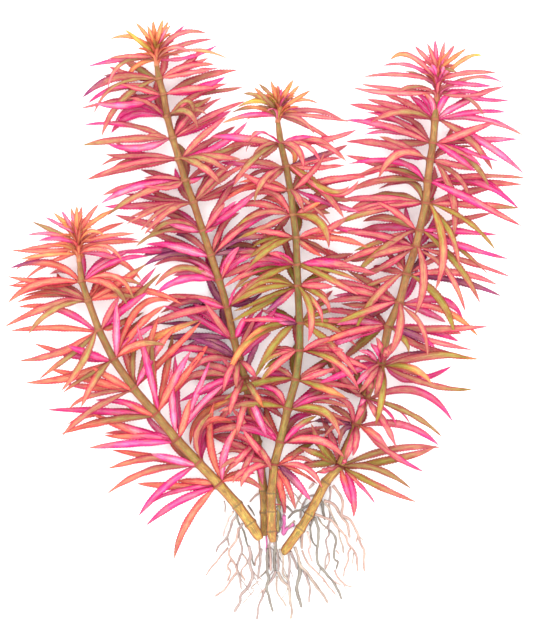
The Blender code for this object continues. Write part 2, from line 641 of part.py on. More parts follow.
def grow_leaves(body, facets, leaves, centre, tangent, placed, full_width):
    """Put each leaf on its facet, on the first curve that keeps clear of everything in place."""
    for order, (facet, leaf) in enumerate(zip(facets, leaves)):
        facet_points = body.facet_points(*facet)
        root = facet_points.mean(axis=0)
        curved = abs(leaf["bow"]) >= STRONG_BOW or leaf["arch"] > STRONG_ARCH
        stations = CURVED_STATIONS if curved else PLAIN_STATIONS
        size = min(1.0, NARROWEST + np.linalg.norm(leaf["offset"]) / REACH_OF_GROWTH)
        width = full_width * size * (1 + WIDTH_SWING * math.cos(order * WIDTH_ORDER_ANGLE))
        roll = math.radians(ROLL + ROLL_SWING * math.cos(order * ROLL_ORDER_ANGLE + centre[0]))
        for tip, control in leaf_tries(leaf, root, centre, tangent):
            wide = leaf_limb(root, control, tip + UP * CLEARANCE / 2, tangent, roll,
                             width + 2 * CLEARANCE, KEEL_DEPTH + 2 * CLEARANCE, stations)
            if placed.clashes(*limb_skin(facet_points, wide, NEAR_FACET)):
                continue
            body.limbs[facet] = leaf_limb(root, control, tip, tangent, roll, width, KEEL_DEPTH, stations)
            if not crosses_itself(*body.mesh()):
                placed.add(*limb_skin(facet_points, body.limbs[facet], NEAR_FACET / 2))
                break
            del body.limbs[facet]


def whorl_parts(whorl, line):
    """A whorl before its leaves grow: collar, leaf facets, leaves, centre and stem direction."""
    centre, tangent, radius = line.at(whorl["ring"])
    side, _ = frame_of(tangent)
    leaves = read_leaves(whorl, centre, side)
    while len(leaves) < LEAVES_IN_WHORL:
        leaves.append(added_leaf(leaves, centre, tangent, side))
    leaves.sort(key=lambda leaf: leaf["azimuth"])
    corners, facets = collar_corners(spread_angles([leaf["azimuth"] for leaf in leaves]))
    inner = (radius + GAP) / math.cos(max(gaps_after(np.array(corners))) / 2)
    half = tangent * COLLAR_HEIGHT / 2
    loops = [loop_round(centre - half, tangent, inner + COLLAR_DEPTH, corners),
             loop_round(centre + half, tangent, inner + COLLAR_DEPTH, corners),
             loop_round(centre, tangent, inner, corners)]
    return Body(loops, ring_shaped=True), [(0, facet) for facet in facets], leaves, centre, tangent


def bud_parts(shoot, line):
    """A shoot tip before its leaves grow: a short bud with three tiers of facets, lowest first."""
    high = line.points[-1][2]
    axis = np.array([(x, y, high) for x, y in shoot["bud"]])
    tangent = unit(axis[-1] - axis[0])
    axis[0] = line.points[-1] + line.tangents[-1] * GAP
    headings = (line.tangents[-1], tangent, tangent, tangent)
    radii = line.radii[-1] * np.array(BUD_RADII)
    loops = [loop_round(point, heading, radius, even_angles(BUD_SIDES))
             for point, heading, radius in zip(axis, headings, radii)]
    body = Body(loops)
    side, _ = frame_of(tangent)
    centre = axis[1]
    leaves = []
    for number, (x, y, bow) in enumerate(shoot["tip"]):
        offset = np.array((x, y)) - centre[:2]
        swing = BUD_LEAF_SWINGS[number % len(BUD_LEAF_SWINGS)]
        rise = max(swing * np.linalg.norm(offset), LEAST_HEIGHT - high)
        leaves.append({"offset": offset, "bow": bow, "rise": rise,
                       "arch": RAISED_ARCH if rise > 0 else SUNKEN_ARCH,
                       "azimuth": math.atan2(rise, offset @ side[:2])})
    leaves.sort(key=lambda leaf: unit(leaf["offset"]) @ tangent[:2])
    facets = []
    middles = even_angles(BUD_SIDES) + math.pi / BUD_SIDES
    for tier, group in enumerate(np.array_split(np.arange(len(leaves)), BUD_TIERS)):
        free = list(range(BUD_SIDES))
        for number in group:
            apart = [abs(math.remainder(middles[facet] - leaves[number]["azimuth"], FULL_TURN))
                     for facet in free]
            facets.append((tier, free.pop(int(np.argmin(apart)))))
    return body, facets, leaves, centre, tangent


def stem_tube(points, tangents, radii):
    """A stem stretch with six sides."""
    angles = even_angles(STEM_SIDES)
    return Body([loop_round(*station, angles) for station in zip(points, tangents, radii)])


def stem_body(shoot, line):
    """The stem from just above its rooted base to the bud."""
    first = len(shoot["foot"])
    seat = line.points[first - 1] + line.tangents[first - 1] * (RING_HEIGHT / 2 + GAP)
    points = np.concatenate((seat[None, :], line.points[first:]))
    return stem_tube(points, line.tangents[first - 1:], line.radii[first - 1:])


def foot_body(shoot, line):
    """The rooted base: the stem from its cut end to the last bare ring, each ring a short band."""
    points, tangents, radii = [], [], []
    for number in range(len(shoot["foot"])):
        middle = CUT_END if number == 0 else 0.0
        for end in (middle - 0.5, middle + 0.5):
            points.append(line.points[number] + line.tangents[number] * RING_HEIGHT * end)
            tangents.append(line.tangents[number])
            radii.append(line.radii[number] + RING_SWELLING)
    return stem_tube(points, tangents, radii)


def grow_roots(body, routes, line, placed):
    """Put each main root on the free facet of its ring that faces its way, on the first clear route."""
    for ring, *route in routes:
        band = 2 * ring
        aim = np.append(route[0], line.points[ring][2] - ROOT_AIM_DROP)
        free = [facet for facet in range(STEM_SIDES) if (band, facet) not in body.limbs]
        middles = [body.facet_points(band, facet).mean(axis=0) for facet in free]
        facing = [unit(middle - line.points[ring]) @ unit(aim - middle) for middle in middles]
        facet = free[int(np.argmax(facing))]
        facet_points = body.facet_points(band, facet)
        start = facet_points.mean(axis=0)
        for sway, level in itertools.product(SWAY_TRIES, LEVEL_TRIES):
            heights = ((start[2] + level) / 2, level, max(level - ROOT_SINK, LOWEST_ROOT))
            turns = [np.array((x + sway, y, z)) for (x, y), z in zip(route, heights)]
            limb = root_limb([start] + turns)
            skin, faces = limb_skin(facet_points, limb, NEAR_FACET)
            for number, section in enumerate(limb[:-1]):
                middle = section.mean(axis=0)
                skin[4 + 3 * number:7 + 3 * number] = middle + (section - middle) * ROOT_CLEARANCE
            if placed.clashes(skin, faces):
                continue
            body.limbs[(band, facet)] = limb
            if not crosses_itself(*body.mesh()):
                placed.add(*limb_skin(facet_points, limb, NEAR_FACET / 2))
                break
            del body.limbs[(band, facet)]


def tissue(name, colour):
    """Plain plant tissue."""
    finish = bpy.data.materials.new(name)
    finish.use_nodes = True
    shader = finish.node_tree.nodes["Principled BSDF"]
    shader.inputs["Base Color"].default_value = (*colour, 1.0)
    shader.inputs["Roughness"].default_value = 0.5
    shader.inputs["Metallic"].default_value = 0.0
    return finish


def make_object(name, points, faces, colour):
    """Named object in metres with its faces pointing out and its own material."""
    mesh = bpy.data.meshes.new(name)
    mesh.from_pydata((points * MM).tolist(), [], faces)
    skin = bmesh.new()
    skin.from_mesh(mesh)
    bmesh.ops.recalc_face_normals(skin, faces=skin.faces)
    if skin.calc_volume(signed=True) < 0:
        bmesh.ops.reverse_faces(skin, faces=skin.faces)
    skin.to_mesh(mesh)
    skin.free()
    mesh.materials.append(tissue(name + "_tissue", colour))
    bpy.context.scene.collection.objects.link(bpy.data.objects.new(name, mesh))


def build_plant():
    """Bodies by name with their colours: bare stems and collars first, then roots, then leaves."""
    stems, feet, crowns = {}, {}, {}
    for shoot_name, shoot in SHOOTS.items():
        line = StemLine(shoot)
        stems[shoot_name + "_stem"] = stem_body(shoot, line)
        feet[shoot_name + "_roots"] = (foot_body(shoot, line), ROOTS[shoot_name], line)
        crowns[shoot_name + "_shoot_tip"] = (bud_parts(shoot, line), YOUNG_LEAF_WIDTH, TIP_COLOUR)
        for number, whorl in enumerate(shoot["whorls"], start=1):
            crowns[f"{shoot_name}_whorl_{number:02d}"] = (whorl_parts(whorl, line), LEAF_WIDTH,
                                                          LEAF_COLOURS[shoot_name])
    bodies = {name: (body, STEM_COLOUR) for name, body in stems.items()}
    bodies.update({name: (body, ROOT_COLOUR) for name, (body, *_) in feet.items()})
    bodies.update({name: (parts[0], colour) for name, (parts, _, colour) in crowns.items()})
    placed = Placed()
    for body, _ in bodies.values():
        placed.add(*body.mesh())
    for body, routes, line in feet.values():
        grow_roots(body, routes, line, placed)
    for parts, width, _ in crowns.values():
        grow_leaves(*parts, placed, width)
    return bodies


def main():
    for piece in list(bpy.data.objects):
        bpy.data.objects.remove(piece)
    meshes = {name: (*body.mesh(), colour) for name, (body, colour) in build_plant().items()}
    lowest = np.min([points.min(axis=0) for points, _, _ in meshes.values()], axis=0)
    highest = np.max([points.max(axis=0) for points, _, _ in meshes.values()], axis=0)
    foot = np.append((lowest[:2] + highest[:2]) / 2, lowest[2])
    for name, (points, faces, colour) in meshes.items():
        make_object(name, points - foot, faces, colour)


main()
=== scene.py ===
import math

import bmesh
import bpy
import numpy as np
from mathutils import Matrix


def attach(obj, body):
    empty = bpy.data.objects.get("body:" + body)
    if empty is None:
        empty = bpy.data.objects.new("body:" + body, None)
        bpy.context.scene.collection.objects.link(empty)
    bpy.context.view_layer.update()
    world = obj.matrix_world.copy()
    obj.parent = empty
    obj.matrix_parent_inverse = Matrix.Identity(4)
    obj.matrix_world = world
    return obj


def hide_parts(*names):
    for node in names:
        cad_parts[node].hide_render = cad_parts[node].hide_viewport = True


# Limnophila hippuridoides: four bare-rooted shoots laid out on a pale surface and seen from above.
# Places in the tables are millimetres on the plant, x to the right and y toward the growing ends.

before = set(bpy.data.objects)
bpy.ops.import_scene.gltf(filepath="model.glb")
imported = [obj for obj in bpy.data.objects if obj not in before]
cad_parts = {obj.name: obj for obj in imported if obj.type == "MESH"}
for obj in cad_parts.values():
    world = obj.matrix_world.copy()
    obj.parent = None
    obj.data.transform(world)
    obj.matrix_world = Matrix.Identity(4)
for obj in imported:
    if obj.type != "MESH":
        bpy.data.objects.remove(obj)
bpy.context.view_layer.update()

MM = 0.001
UP = np.array((0.0, 0.0, 1.0))
FULL_TURN = 2 * math.pi
# Place in the tables (mm) that is the frame's origin, on the surface
PLANT_MIDDLE = np.array((0.0, 0.5, 0.45))
# Share of a tone's light that the pieces reflect, so that they show the tone under a strong lamp
IN_THE_LIGHT = 0.69

# Camera over the plant (metres): its height and place, the height of its picture and the plane on
# which places were read, then the height of its sensor (mm)
CAMERA_HEIGHT = 1.6
CAMERA_OVER = (0.000275, 0.00225)
FRAME_TALL = 0.3498
PICTURE_PLANE = 0.015
SENSOR_HEIGHT = 24.0
# Pale floor from the origin to each side (metres), white surround, and the lamp's place and size
# (metres) and power (watts)
FLOOR_REACH = 3
FLOOR_COLOUR = (0.97, 0.97, 0.97, 1)
SURROUND_STRENGTH = 2.9
KEY_PLACE, KEY_SIZE, KEY_POWER = (-0.7, 0.7, 1.3), 1.2, 9.0
# Seed of the first shoot's random draws
FIRST_SEED = 40

# Grid of a leaf blade: spacing of the rings along it (mm), the fewest rings and the points across
TOOTH_SPACING = 0.85
FEWEST_RINGS = 18
BLADE_ACROSS = np.array((-1.0, -0.52, 0.0, 0.52, 1.0))
# Outline of a blade: width at its root as a share of the full one, the share of the length where it
# is full, the share where it starts to narrow and how blunt it stays, then its teeth outward and inward
ROOT_WIDTH = 0.45
FULL_AT = 0.32
NARROWS_AT = 0.5
BLUNT_POWER = 0.78
TOOTH_OUT, TOOTH_IN = 1.1, 0.88
# Half of a blade's thickness at its edge, what the middle has more and the keel's depth, then the half
# width under which the blade thins, and the least half width (mm)
EDGE_THICK, MIDDLE_THICK, KEEL_DEPTH = 0.05, 0.11, 0.22
THIN_BELOW = 0.8
LEAST_HALF = 0.05
# Waves and fold of a blade as shares of its half width, and its greatest lean to a side (radians)
EDGE_WAVE = 0.16
FOLD, FOLD_SPREAD = 0.20, 0.1
LEAN = 0.3
# Least and greatest arch of a blade as a share of its length: with its place read, and without
READ_ARCH = (-0.01, 0.05)
EXTRA_ARCH = (-0.02, 0.10)
# Share of the sideways sway left in a blade whose place was read, and how far its thin tip runs on
# past the read place (mm)
READ_SWAY = 0.15
THIN_TIP = 1.1

# Leaves (mm): length along the blade, what of it is left over at least, widths of those without a
# solid in the whorls, the hidden whorls and at the tips, and the least heights of tips and bends
LEAF_LENGTH = 41.0
LEAST_SPARE = 4.0
WHORL_LEAF_WIDTH = 4.4
HIDDEN_LEAF_WIDTH = 4.2
YOUNG_LEAF_WIDTH = 3.0
LOWEST_TIP = 1.2
LOWEST_BEND = 1.5
# How far a solid's leaf may be from a reading that it takes (mm), in the whorls and at the tips, and
# how far its root runs on under the collar
WHORL_MATCH = 13.0
TIP_MATCH = 7.0
UNDER_COLLAR = 1.3

# Leaves wanted on each side of a whorl, the least turn between two, and the least turn from the
# growing direction of one that counts as beside the stem (radians)
USUAL_A_SIDE = 7
LEAVES_A_SIDE = {**{f"left_whorl_{number:02d}": 5 for number in range(3, 10)},
                 **{f"right_whorl_{number:02d}": 5 for number in (3, 4, 5, 6, 7, 8, 9, 13, 14)},
                 "tall_whorl_01": 6, "tall_whorl_02": 5, "tall_whorl_12": 6}
LEAST_TURN = 0.14
BESIDE_FROM = 0.3

# Stems: sides of the tube, step along it (mm), its radius as a share of the solid's, a ring's swelling
# and how far along the stem it fades (mm)
STEM_AROUND = 24
STEM_STEP = 0.8
STEM_SHARE = 0.95
RING_SWELLING = 0.5
RING_REACH = 1.1
# Collars of leaf bases: sides round the stem and round the profile, how far the profile's middle is
# outside the stem, its half thickness and half height (mm), and its tone
COLLAR_AROUND = 40
COLLAR_SIDES = 8
COLLAR_OUT, COLLAR_THICK, COLLAR_HIGH = 0.25, 0.42, 0.8
COLLAR_TONE = (156, 84, 66)

# Roots: sides of their tubes, step along them, unit of the radii in the table and least height of a
# root's axis (mm)
ROOT_AROUND = 8
ROOT_STEP = 0.8
RADIUS_UNIT = 0.125
LOWEST_ROOT = 1.2
# Fine branches: how often a root has one, if its path has more than so many points, and the place and
# the radius that they don't go past (mm)
FINE_ROOT_CHANCE = 0.4
BRANCHING_POINTS = 14
FINE_ROOT_END = -163.0
FINE_ROOT_RADIUS = 0.3

# Young leaves along each bud and in the tuft at its end, and the bud under them: sides, rings, tone
BUD_LEAVES = 22
TUFT_LEAVES = 16
BUD_AROUND = 16
BUD_RINGS = 14
BUD_TONE = (196, 118, 84)

# Each shoot's stem as in the solids: bare rings of its rooted base, bends, leafy rings and bud
STEMS = {
    "left": {
        "foot": [(-3, -119.5), (-8.6, -110.6), (-15.8, -100.6)],
        "rings": [(-26, -89), (-37.5, -77), (-49.5, -64), (-61, -50), (-73, -36), (-84, -20), (-92, -4),
                  (-98, 12.5), (-101.5, 23)],
        "bud": [(-103.0, 35), (-103.4, 41), (-103.8, 46.5), (-104.2, 52)],
        "height": (9.5, 13.5), "radius": (3.4, 1.9),
        "tones": ((180, 150, 72), (136, 104, 56), (150, 108, 62)),
        "young": "ooocooco",
    },
    "tall": {
        "foot": [(-0.8, -118), (-0.8, -105), (-1.2, -93)],
        "bend": [(-3, -80), (-5, -66), (-9.5, -40), (-12, -30), (-15, -20)],
        "rings": [(-18, -8), (-21.5, 9), (-26, 24), (-30.5, 37.5), (-35, 51), (-40, 66.5), (-44.5, 78.5),
                  (-48, 90.5), (-51.5, 102), (-54.5, 114), (-56.5, 126), (-59, 134.5)],
        "bud": [(-60.3, 143.0), (-60.5, 146.5), (-60.7, 150), (-61, 154)],
        "height": (3.2, 12.0), "radius": (2.6, 2.0),
        "tones": ((174, 138, 70), (140, 104, 54), (146, 104, 58)),
        "young": "oooyooop",
    },
    "middle": {
        "foot": [(4, -121), (3, -115), (3, -104), (3, -94)],
        "rings": [(4.5, -78), (8, -65.5), (12, -47), (16.5, -31), (18.5, -15), (18.5, 0), (17.5, 20.5),
                  (17, 32), (16.5, 47), (15, 59.5), (13.5, 73), (11, 86), (8, 99)],
        "bud": [(6.5, 111.5), (6.7, 115), (7.0, 118.5), (7.5, 122.5)],
        "height": (10.3, 17.0), "radius": (2.8, 1.9),
        "tones": ((172, 134, 70), (92, 104, 44), (140, 110, 56)),
        "young": "yooyogok",
    },
    "right": {
        "foot": [(9, -128), (19, -114), (24, -106), (33, -88)],
        "rings": [(41, -79), (50, -56), (55, -41), (63.5, -23), (67.5, -2), (73.5, 11), (77.5, 27),
                  (82.5, 42), (84.5, 51), (88, 66), (89, 78), (90.5, 90), (92, 99), (93, 112)],
        "bud": [(94.0, 123), (94.2, 130), (94.4, 136.5), (94.5, 143)],
        "height": (5.0, 14.0), "radius": (2.9, 2.2),
        "tones": ((180, 150, 72), (146, 104, 60), (152, 112, 62)),
        "young": "sosksoso",
    },
}

# Leaf tones by letter: ground of the blade, pale middle stripe and margin (red, green, blue, 0 to 255)
TONES = {
    "p": ((234, 66, 142), (246, 148, 188), (220, 10, 106)),
    "k": ((240, 112, 160), (250, 188, 208), (218, 30, 110)),
    "s": ((228, 112, 118), (238, 172, 146), (208, 28, 84)),
    "c": ((236, 118, 98), (244, 172, 138), (218, 46, 76)),
    "r": ((208, 104, 114), (222, 158, 134), (196, 28, 86)),
    "b": ((190, 114, 100), (208, 166, 118), (192, 40, 84)),
    "g": ((158, 124, 76), (182, 180, 104), (166, 60, 66)),
    "m": ((150, 134, 56), (178, 184, 84), (172, 72, 58)),
    "o": ((240, 144, 84), (250, 196, 120), (230, 92, 78)),
    "y": ((218, 184, 66), (236, 222, 112), (190, 130, 50)),
    "v": ((160, 66, 116), (200, 124, 150), (116, 20, 80)),
}

# Tones of the marks on the stems and of the painted shade on their flanks, of tanned patches on leaf blades
# and of the blades' under sides
STEM_MARKS_AND_SHADE = {"rust": (184, 84, 60), "olive": (112, 120, 48), "straw": (222, 194, 96), "dark": (96, 70, 44),
              "ring": (98, 76, 56)}
TAN = (176, 146, 96)
UNDER_PINK = (228, 74, 128)

# Leaves read from the picture: tone letters and the place of the tip, and for some the place of the
# middle. A second letter is the tone toward the tip, and a last f marks a leaf that arches over the
# front of the stem.
LEAVES = {
    "left_shoot_tip":
        "yo -116 60, k -121 58, yg -128 55.5, k -112 61, ko -107 62.5, o -104 63.5, c -101.5 63, "
        "c -92.5 64.5, o -84 62, o -89.5 47.5, c -79 55, c -73 49, p -71 46, c -70 44.5, ck -131 48, "
        "p -124 45, c -133 40.5 -118 42.5, c -140 40 -121 39.5, c -131 24.5 -119 33, o -135 35, "
        "c -80 34, kcf -69.5 24, c -86 38",
    "left_whorl_01":
        "r -118 26.5 -110 28.5, cv -140 30 -119 32.5, c -141 11, c -141.5 25.5 -120 21.5, cgf -77 10.5, "
        "p -66 36, p -87 37, c -80 33, k -73 40",
    "left_whorl_02":
        "bc -143 -2 -118 9.5, gf -130 -6 -117 7, cg -66.5 32, c -72 26, c -47 10.3, r -92 26, c -88 20, "
        "cg -72 14",
    "left_whorl_03":
        "pc -136 8.5, c -140 -4.5 -116 -2.8, cb -135 -20.5 -112 -15.8, gcf -112 -36.5 -101 -22, "
        "r -81 14, ck -61 30, cg -58.5 27, cg -68.5 5.5 -81 -0.8, c -76 12, p -66 16",
    "left_whorl_04":
        "pc -127 -11.5, p -108 -13, c -131.5 -33 -106 -29.5, gcf -101 -45.5 -94.5 -32, k -82 10.5, "
        "c -79 -3, c -56 8.5 -69 -1, c -53 11 -70 8, cgf -56.5 -12.5, og -37 1.5, k -62 -2, cg -66 4",
    "left_whorl_05":
        "c -118 -25.5, c -95 -25, cp -109 -33.5, bc -111.5 -62 -97 -49, ck -81 -3, gc -59 3, c -36 0, "
        "kc -50 -3",
    "left_whorl_06":
        "p -120 -47.5 -91 -48.5, cp -80.5 -43, gc -112 -61 -87 -54, pk -70.5 -2, cg -51 -7, "
        "ck -42 -16.5, c -31 -11",
    "left_whorl_07":
        "kc -95 -50.5, pc -97 -68.5, p -50 -18, c -42 -43, c -40 -44, k -31 -22, kf -22 -33.5, "
        "k -52 -26",
    "left_whorl_08":
        "c -84 -70, k -62 -72.5, bc -86.5 -94, pf -69.5 -105.5, bg -30 -50.5, pc -9 -60",
    "left_whorl_09":
        "c -70 -88.5, p -65 -111, cb -50 -129, c -28 -44, c -48.5 -86.8 -38 -87.3, kc -16 -58, "
        "c -7 -83, cb -3 -92",
    "tall_shoot_tip":
        "o -71 164.5, y -77 161, po -75 158.5, o -85 155.5, sb -86 145.5, o -65 163, o -62 165.5, "
        "o -57 166, o -54 165, ko -53 163, p -45.5 163, rb -33.5 159, r -30.5 156, bsf -42.5 148.5, "
        "bp -97 141, gsf -86 129.5, o -76 132.5, bo -22 145, p -27 153",
    "tall_whorl_01":
        "bv -100 124, gbf -89.5 103, s -27 140",
    "tall_whorl_02":
        "bp -97 121, s -79 131, r -101 118, pk -93 121, bs -16.5 139, p -23.5 135, rb -13.5 129.5, "
        "s -29 129, s -40 130",
    "tall_whorl_03":
        "p -84 104.5, b -75 123, gbf -38 107, s -36 122, gb -31 124, s -22 131",
    "tall_whorl_04":
        "bp -99.5 108.5, b -65 103, bg -100.5 97.5, kp -86 98.5, p -20 116.5, r -12.5 121.5, "
        "r -45.5 116, s -27 113, r -35 119",
    "tall_whorl_05":
        "r -82 99.5, rb -92 81, sb -98 79, gbf -25.5 76.5, pk -11 110, r -17.5 107.5, br -22.5 112.5",
    "tall_whorl_06":
        "pr -90 70, pk -90 66, bgf -86 59.5, r -68 84, r -67 76 -54 74, rp -36 80 -41 78, s -12 98",
    "tall_whorl_07":
        "rp -88 64, bf -66 49 -54 61, bs -13 86, sk -7 78",
    "tall_whorl_08":
        "r -82 59.5, bgf -70.5 42 -56 50.5, pr -52 61.5 -46 59.5, pr -27.5 53 -31.5 51, k -52 54, "
        "rb -14 83, r -23 65, pk -5 73",
    "tall_whorl_09":
        "p -77 38.5, v -67 31, r -64 50, kp -58 44, rv -49 48 -42 47, s 1 65, sp 9 61.5, r -23.5 57, "
        "vr 3 37",
    "tall_whorl_10":
        "r -60.5 31, gb -60 20 -46 30, pf -59 16.5 -45 24, b -1 38, sp -15.5 40.5, s 6 33, k -15 41, "
        "s -20 39, pr -6 36.5 -15 34, k -42 29, r -46 39, k -50 26",
    "tall_whorl_11":
        "s -60 13, p -36 13, vr -57 0, p -17 18, v -10 10, rb -68 -4",
    "tall_whorl_12":
        "p -56 9, r -33 10, v -58 -8.5, p -12 3, vk 3 4",
    "middle_shoot_tip":
        "yg -3.5 131, go -6 129, yg -11.5 125.5 -4 124.5, yg -15 118.5 -4 122, y -9 121 -2 122.5, "
        "og -18 115.5 -6 118.5, o 3 132.5, k 7 129.5, o 14.5 133, o 18 130.5, o 24 127.5, ob 28 120.5, "
        "po -23 110 -8 114.5, o -14 113.5 -4 114, r 42 111, bf 25.5 104.5, bsf 37 99, s 45 110.5, "
        "pb 20 116, o -10 112",
    "middle_whorl_01":
        "pbf -10 94.5, k -8 97, b -3 90 3 95, bo 14 87.5 15.5 93.5, bp -29 102.5, s -26 93, p 24 102, "
        "sbf 43 89, bsf 20 86, s 49 106, gsf -17 76",
    "middle_whorl_02":
        "kp -24 88, b -16 88.5, bgf -6 66.5, r -11 80, s 50 78.5 37 71.5, b 2 77 6 81.5, vr 44 97.5, "
        "mbf 42 58.5",
    "middle_whorl_03":
        "bc -3 67.5 6 71, c -21.5 67.5 -6 75.5, pk 56 60.5, bf 20.5 62, s 60 83, s 54 80",
    "middle_whorl_04":
        "s -20 63, bm -14.5 47 -2 52, cb -1 68 7 67, bg 28 53 25 57, b 3 48, so 29 66, mbf 33.5 42",
    "middle_whorl_05":
        "mf -9 30.5, os -7 44, s -4 50, sb 45 36, s 32 52, c 55 41.5 38 46.5, bc 30.5 37 22 42",
    "middle_whorl_06":
        "ps -22 20, mbf -18 11, b 8 37, msf 50 16, bs 47 38, pr 48 31, r 60 27, mg 26 27.5 21 31",
    "middle_whorl_07":
        "mb -20 27, mf -18 10.5, m -18.5 1.5 0 11, rv 0 6 8.5 12.5, mb 38 30, msf 23 -9, s 36 20",
    "middle_whorl_08":
        "m 3 8.5, ps -12 1, mof -21 -34, m -6 -30 4.5 -12, s 36 17, msf 50 -28, vk 8 0",
    "middle_whorl_09":
        "s 2 -14, sm -2 -31, v 4 -26, msf 50 -36, sr 35 -9, r 30 -19, s 57 -26, s 46 -22",
    "middle_whorl_10":
        "bs 2 -24, m -22 -42, p 0 -33, sr 37 -25, mof 43 -41, s 52 -36.5, r 45 -45, rc 3 -34.5 10 -31.5",
    "middle_whorl_11":
        "s -12 -40, mb -25 -49, s -3 -46, pb 45 -42, mbf 40 -62, s -10 -48, b 46 -54, rp -6 -35.5 5 -37",
    "middle_whorl_12":
        "ps -33 -62, pm 27 -52, sf 42 -74, rb 41 -64, bp 24.5 -51.5 15 -53.5, rc -9 -47, c 0 -45.5",
    "middle_whorl_13":
        "s -30 -62, sbf -13 -90, s -12 -60, bm 27 -65, sf 30 -90.5, vk 24 -97 15.5 -86.5, "
        "cs 27.5 -88 18 -82, cr 10.5 -104 8 -91",
    "right_shoot_tip":
        "s 82.5 151.5, s 89 153, p 93 155, s 98 154, s 103.5 152.5, o 109.5 150.5, "
        "oy 118 146.5 109 145, so 69 144 79 147, gf 82 141, gf 104 138, ps 64.5 141 79 141.5, "
        "r 54 135 74 136.5, g 77 138, sr 126 137.5 110 137.5, bp 130 131 115 135, "
        "p 123 130.5 110 131.3, s 53.5 131 70 128.5, s 48 129.5 66 126.5, gbf 69.5 123, "
        "r 131 131 113 125, p 119.5 126, bf 119 114, p 133.5 122.5 115 123.5, pf 89 139, pf 91 141, "
        "kf 97.5 140, pf 100 137",
    "right_whorl_01":
        "r 47 120.5 66 117, r 56.5 123, gbf 58.5 110, kb 140.5 103.5 118 112, p 131 116, bf 124 84.5, "
        "pkf 141 83, p 80 124, s 66 125, k 112 122, r 128 129.5, p 107 126 99 124, kc 86.5 125.5 91 122",
    "right_whorl_02":
        "r 65 115, rp 45 111.5, bk 52 98.5 74 98.5, sr 124.5 110, rk 138 101 114 100.5, bgf 122 76, "
        "pf 114 84",
    "right_whorl_03":
        "r 45 99.5 65 98, rb 63 102, bf 63 80, pk 70 92, rb 114 84.5, bf 102 47",
    "right_whorl_04":
        "r 45 92, p 46 87 72 88.5, gs 45 71.5 64 78.5, sb 143 79.5, s 140 76.5, p 138.5 63 116 77.5, "
        "psf 140 53.5 114 67",
    "right_whorl_05":
        "g 52 66.5, bm 38 54, r 127 74.5, sg 138 63, mbf 93 19.5, mf 125.5 40, r 40 67 62 68.5, "
        "r 55 60, gr 63 73.5 79 77.5, bs 48 62.5 62 67, r 45 61",
    "right_whorl_06":
        "pr 52 50.5, s 62 66, gb 54.5 55.5 67 57.5, bmf 50 27, rs 123 60, p 133 35.5 107 42.5, "
        "mbf 117 11.5",
    "right_whorl_07":
        "b 60 49, sb 40 32, s 134 25.5 109 34, bf 82 5.5, p 33 53, r 38 49, bf 57 36, b 47 34.5 58 37, "
        "rb 51 26.5 63 30",
    "right_whorl_08":
        "sr 60 31, bmf 50 -3, s 126.5 21, v 128.5 15, mf 103 -5",
    "right_whorl_09":
        "rk 53 2, rm 40 0, bf 68 -17, p 107 3 96 12.5, so 116 -7, pk 98 1, r 35 23.5, s 38 20, s 43 18, "
        "r 33 11, k 38 15, b 46 28, rb 42.5 10.5 56 9.5",
    "right_whorl_10":
        "sm 60 6, so 32 -11, mb 42 -20, bs 121 -2 94 -3.5, s 107 -5.5, s 113 -15 89 -9.5, "
        "so 117 -19.5 89 -14.5, mf 78 -17, r 30 7, s 28 1, k 40 -1, so 37 -5, s 24 -13, k 34 -14, "
        "r 40 -9, vp 92 -13, p 105 -10",
    "right_whorl_11":
        "v 56 -15, mof 90 -33, p 101 -23.5 80 -31.5, rk 50 -34, p 40 -27, p 30 -33, rb 83 -29, "
        "bm 113 -36.5 90 -34, mf 60.5 -55, r 49 -20, k 52 -16, rbf 52 -38, bf 60 -40, rf 66 -14, "
        "k 79 -20, rv 89.5 -15.5 76 -18.5, bf 69 -12, rf 61 -9, pf 58 -12",
    "right_whorl_12":
        "rp 102 -54 83 -37.5, gf 96 -62.5 79 -50, rsf 71.5 -68 65 -55, br 39 -35.5 47 -37.5, r 50 -40, "
        "p 57 -44, rf 49 -54, bf 58 -31, kf 51 -46, rbf 60 -52",
    "right_whorl_13":
        "b 35 -46, r 38.5 -42 45.5 -45, vb 41 -67 42.5 -59, v 27 -54, cr 66.5 -69 59.5 -61.5, "
        "rp 94 -67.5 76 -56.5, rpf 86 -81.5 68 -71.5, bf 53 -45, rbf 43 -76, rf 48 -72",
    "right_whorl_14":
        "mb 18 -79, rbf 27 -82, mb 82 -98.5 61 -89.5, psf 48 -106, cp 46.5 -98.5 43.5 -89",
}

# Root tones by letter: mauve grey, dark grey, beige, rosy white, rosy brown, mauve, crimson and olive
ROOT_TONES = {"a": (168, 148, 142), "d": (138, 130, 120), "b": (178, 160, 146), "w": (214, 184, 174),
              "r": (184, 154, 142), "m": (226, 116, 180), "c": (206, 84, 104), "y": (196, 176, 104)}

